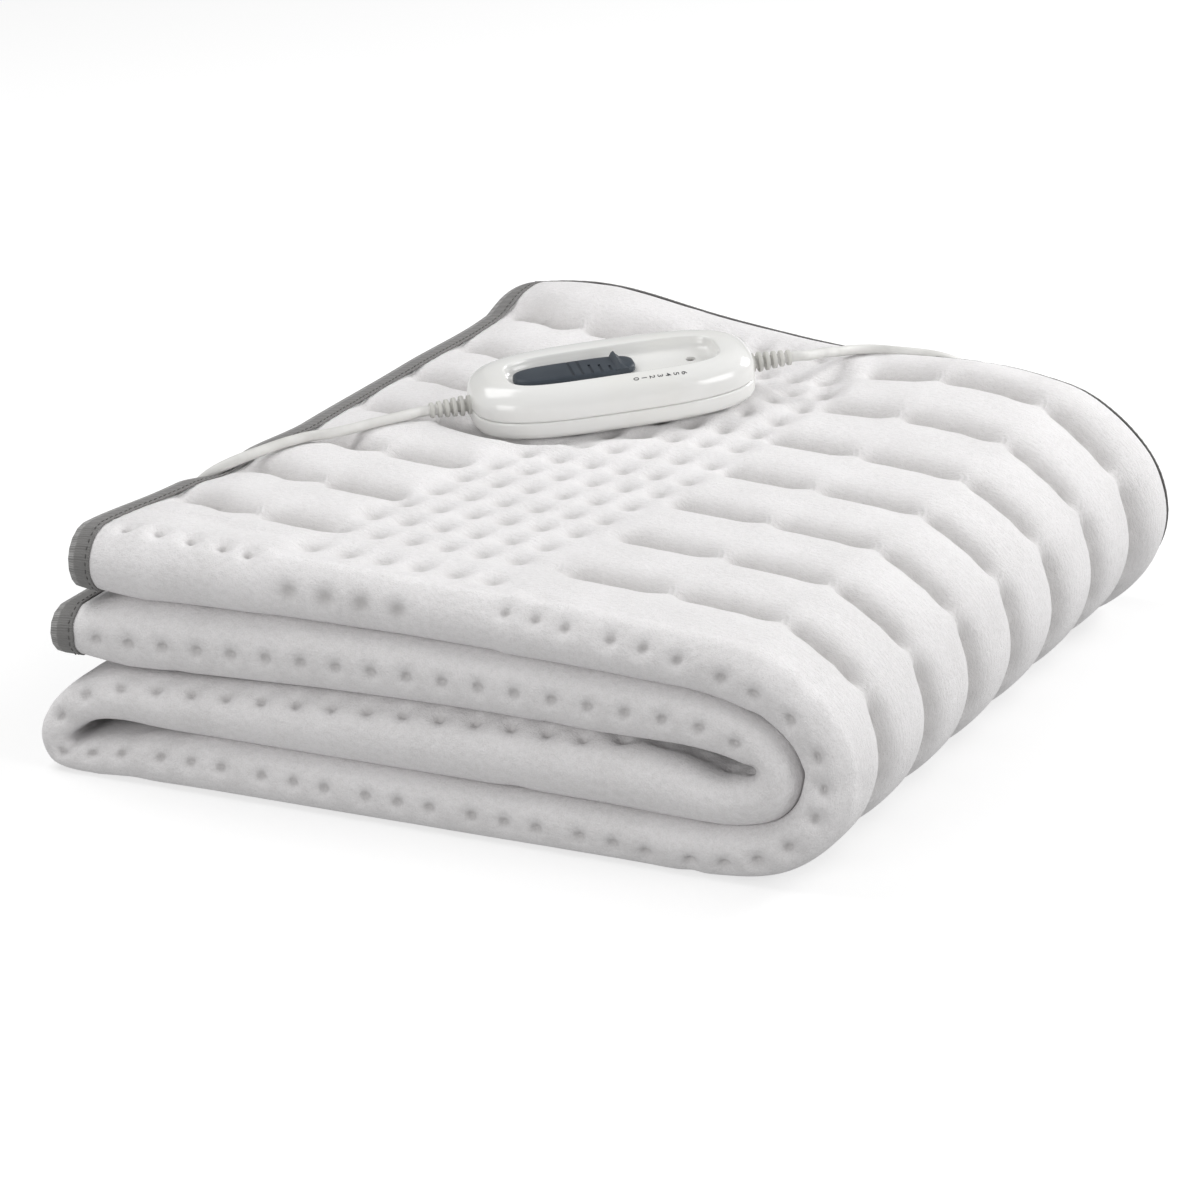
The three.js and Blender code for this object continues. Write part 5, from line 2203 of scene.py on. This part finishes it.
    def to_mains(self) -> None:
        """Lays the mains lead, with its stowed length wound behind the sheet."""
        start = self.from_handset(1)
        winding = self.winding()
        front = curve_points(np.vstack([start, self.mains_route, winding[:3]]), np.linspace(0, 1, 500))
        lead = self.curve("lead_to_mains", np.vstack([front[:-1:3], winding[2:]]))
        hand_over(lead, Body.BLANKET, Slot.CORD, "mains_lead", "mains_coil")

    def tie(self) -> bpy.types.Object:
        """Builds the strap round the coil, with its end lapped over.

        Returns:
            The strap.
        """
        body = RingBody(self.strap_steps)
        stops = np.array([(x, 0, z) for x, z in (*self.strap, self.strap[0])], float)
        ring = curve_points(stops, np.arange(self.strap_steps) / self.strap_steps)
        for offset in self.strap_rows:
            body.draw(ring + (0, self.coil[1] + offset, 0))
        bm = body.done()
        bmesh.ops.solidify(bm, geom=bm.faces[:], thickness=self.strap_thickness)
        at = Matrix.Translation((self.lap_at[0], self.coil[1], self.lap_at[1]))
        lap = bmesh.ops.create_cube(bm, size=1.0, matrix=at @ Matrix.Diagonal((*self.lap_size, 1)))
        edges = {e for v in lap["verts"] for e in v.link_edges}
        bmesh.ops.bevel(
            bm, geom=list(edges), offset=self.lap_edge, segments=2, profile=0.5, affect="EDGES",
            material=-1,
        )
        bmesh.ops.recalc_face_normals(bm, faces=bm.faces)
        set_places(bm.verts, to_row([v.co for v in bm.verts]))
        piece = as_object("coil_strap", bm, self.finishes.strap)
        crease_edges(piece, self.strap_crease)
        return hand_over(piece, Body.BLANKET, Slot.SLATE, "coil_tie")


def dress(node: str, finish: bpy.types.Material) -> None:
    """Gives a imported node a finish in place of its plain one."""
    for slot in bpy.data.objects[node].material_slots:
        slot.material = finish


# The studio


@dataclass
class Studio:
    """Camera, soft lights, white surroundings and the paper sweep.

    A light holds its name, its place, where it points, its size and its power.
    """

    finishes: Finishes
    camera_at: Point = (0.91601, -2.02358, 0.84515)
    looks: Point = (-0.39344, 0.85380, -0.34093)
    lens: float = 150.6
    sensor: float = 36.0
    farthest: float = 50.0
    roll: float = -0.0114
    room_light: float = 0.37
    floor_size: float = 6.0
    lights: tuple = (
        ("back", (1.1, 1.5, 1.05), (0, 0, 0.1), 0.8, 26),
        ("overhead", (-0.9, -0.1, 1.55), (0, 0, 0.05), 1.1, 13.5),
        ("front", (-0.3, -2.0, 0.55), (0, 0, 0.05), 1.0, 10.5),
        ("right", (2.0, -0.3, 0.8), (0, 0, 0.05), 1.0, 16),
    )

    def camera(self) -> None:
        """Stands the camera where the photograph was taken."""
        lens = bpy.data.cameras.new("camera")
        lens.lens, lens.sensor_width, lens.clip_end = self.lens, self.sensor, self.farthest
        turn = Vector(self.looks).to_track_quat("-Z", "Y").to_matrix() @ Matrix.Rotation(self.roll, 3, "Z")
        made = in_scene("camera", lens)
        made.matrix_world = Matrix.Translation(self.camera_at) @ turn.to_4x4()
        bpy.context.scene.camera = made

    def light(self, name: str, at: Point, to: Point, size: float, power: float) -> None:
        """Hangs one square soft light.

        Args:
            name: its name.
            at: its place.
            to: where it points.
            size: its side.
            power: its power in watts.
        """
        lamp = bpy.data.lights.new(name, "AREA")
        lamp.size, lamp.energy = size, power
        turn = (Vector(to) - Vector(at)).to_track_quat("-Z", "Y").to_matrix().to_4x4()
        in_scene(name, lamp).matrix_world = Matrix.Translation(at) @ turn

    def build(self) -> None:
        """Lights the scene and lays the floor."""
        scene = bpy.context.scene
        world = bpy.data.worlds.new("white room")
        world.use_nodes = True
        colour, strength = world.node_tree.nodes["Background"].inputs[:2]
        colour.default_value, strength.default_value = (1.0, 1.0, 1.0, 1.0), self.room_light
        scene.world = world
        for light in self.lights:
            self.light(*light)
        bm = bmesh.new()
        bmesh.ops.create_grid(bm, x_segments=1, y_segments=1, size=self.floor_size)
        floor = as_object("paper_floor", bm, self.finishes.floor)
        floor.visible_diffuse = False
        scene.view_settings.view_transform = "Standard"
        scene.view_settings.look = "None"


def main() -> None:
    """Builds the scene, piece by piece."""
    logging.basicConfig(level=logging.INFO, format="%(name)s: %(message)s")
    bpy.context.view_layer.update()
    finishes = Finishes.build()
    studio = Studio(finishes)
    studio.camera()
    place = HandsetPlace()
    leads = Leads(place, finishes)
    leads.to_blanket()
    leads.to_mains()
    leads.tie()
    fold = FoldedSheet(handset=place)
    QuiltedSheet(fold, Quilting()).build(finishes.fleece)
    tape = EdgeTape(fold)
    tape.build(finishes.tape)
    tape.stitch(finishes.thread)
    controller = Controller(place, finishes)
    controller.base()
    controller.scale(controller.top())
    controller.lamp()
    controller.slide()
    controller.boots()
    dressed = {
        "plug_body": finishes.boot, "lead_inlet": finishes.shell,
        "plug_pin_1": finishes.pin, "plug_pin_2": finishes.pin,
    }
    for node, finish in dressed.items():
        dress(node, finish)
    studio.build()


if __name__ == "__main__":
    main()
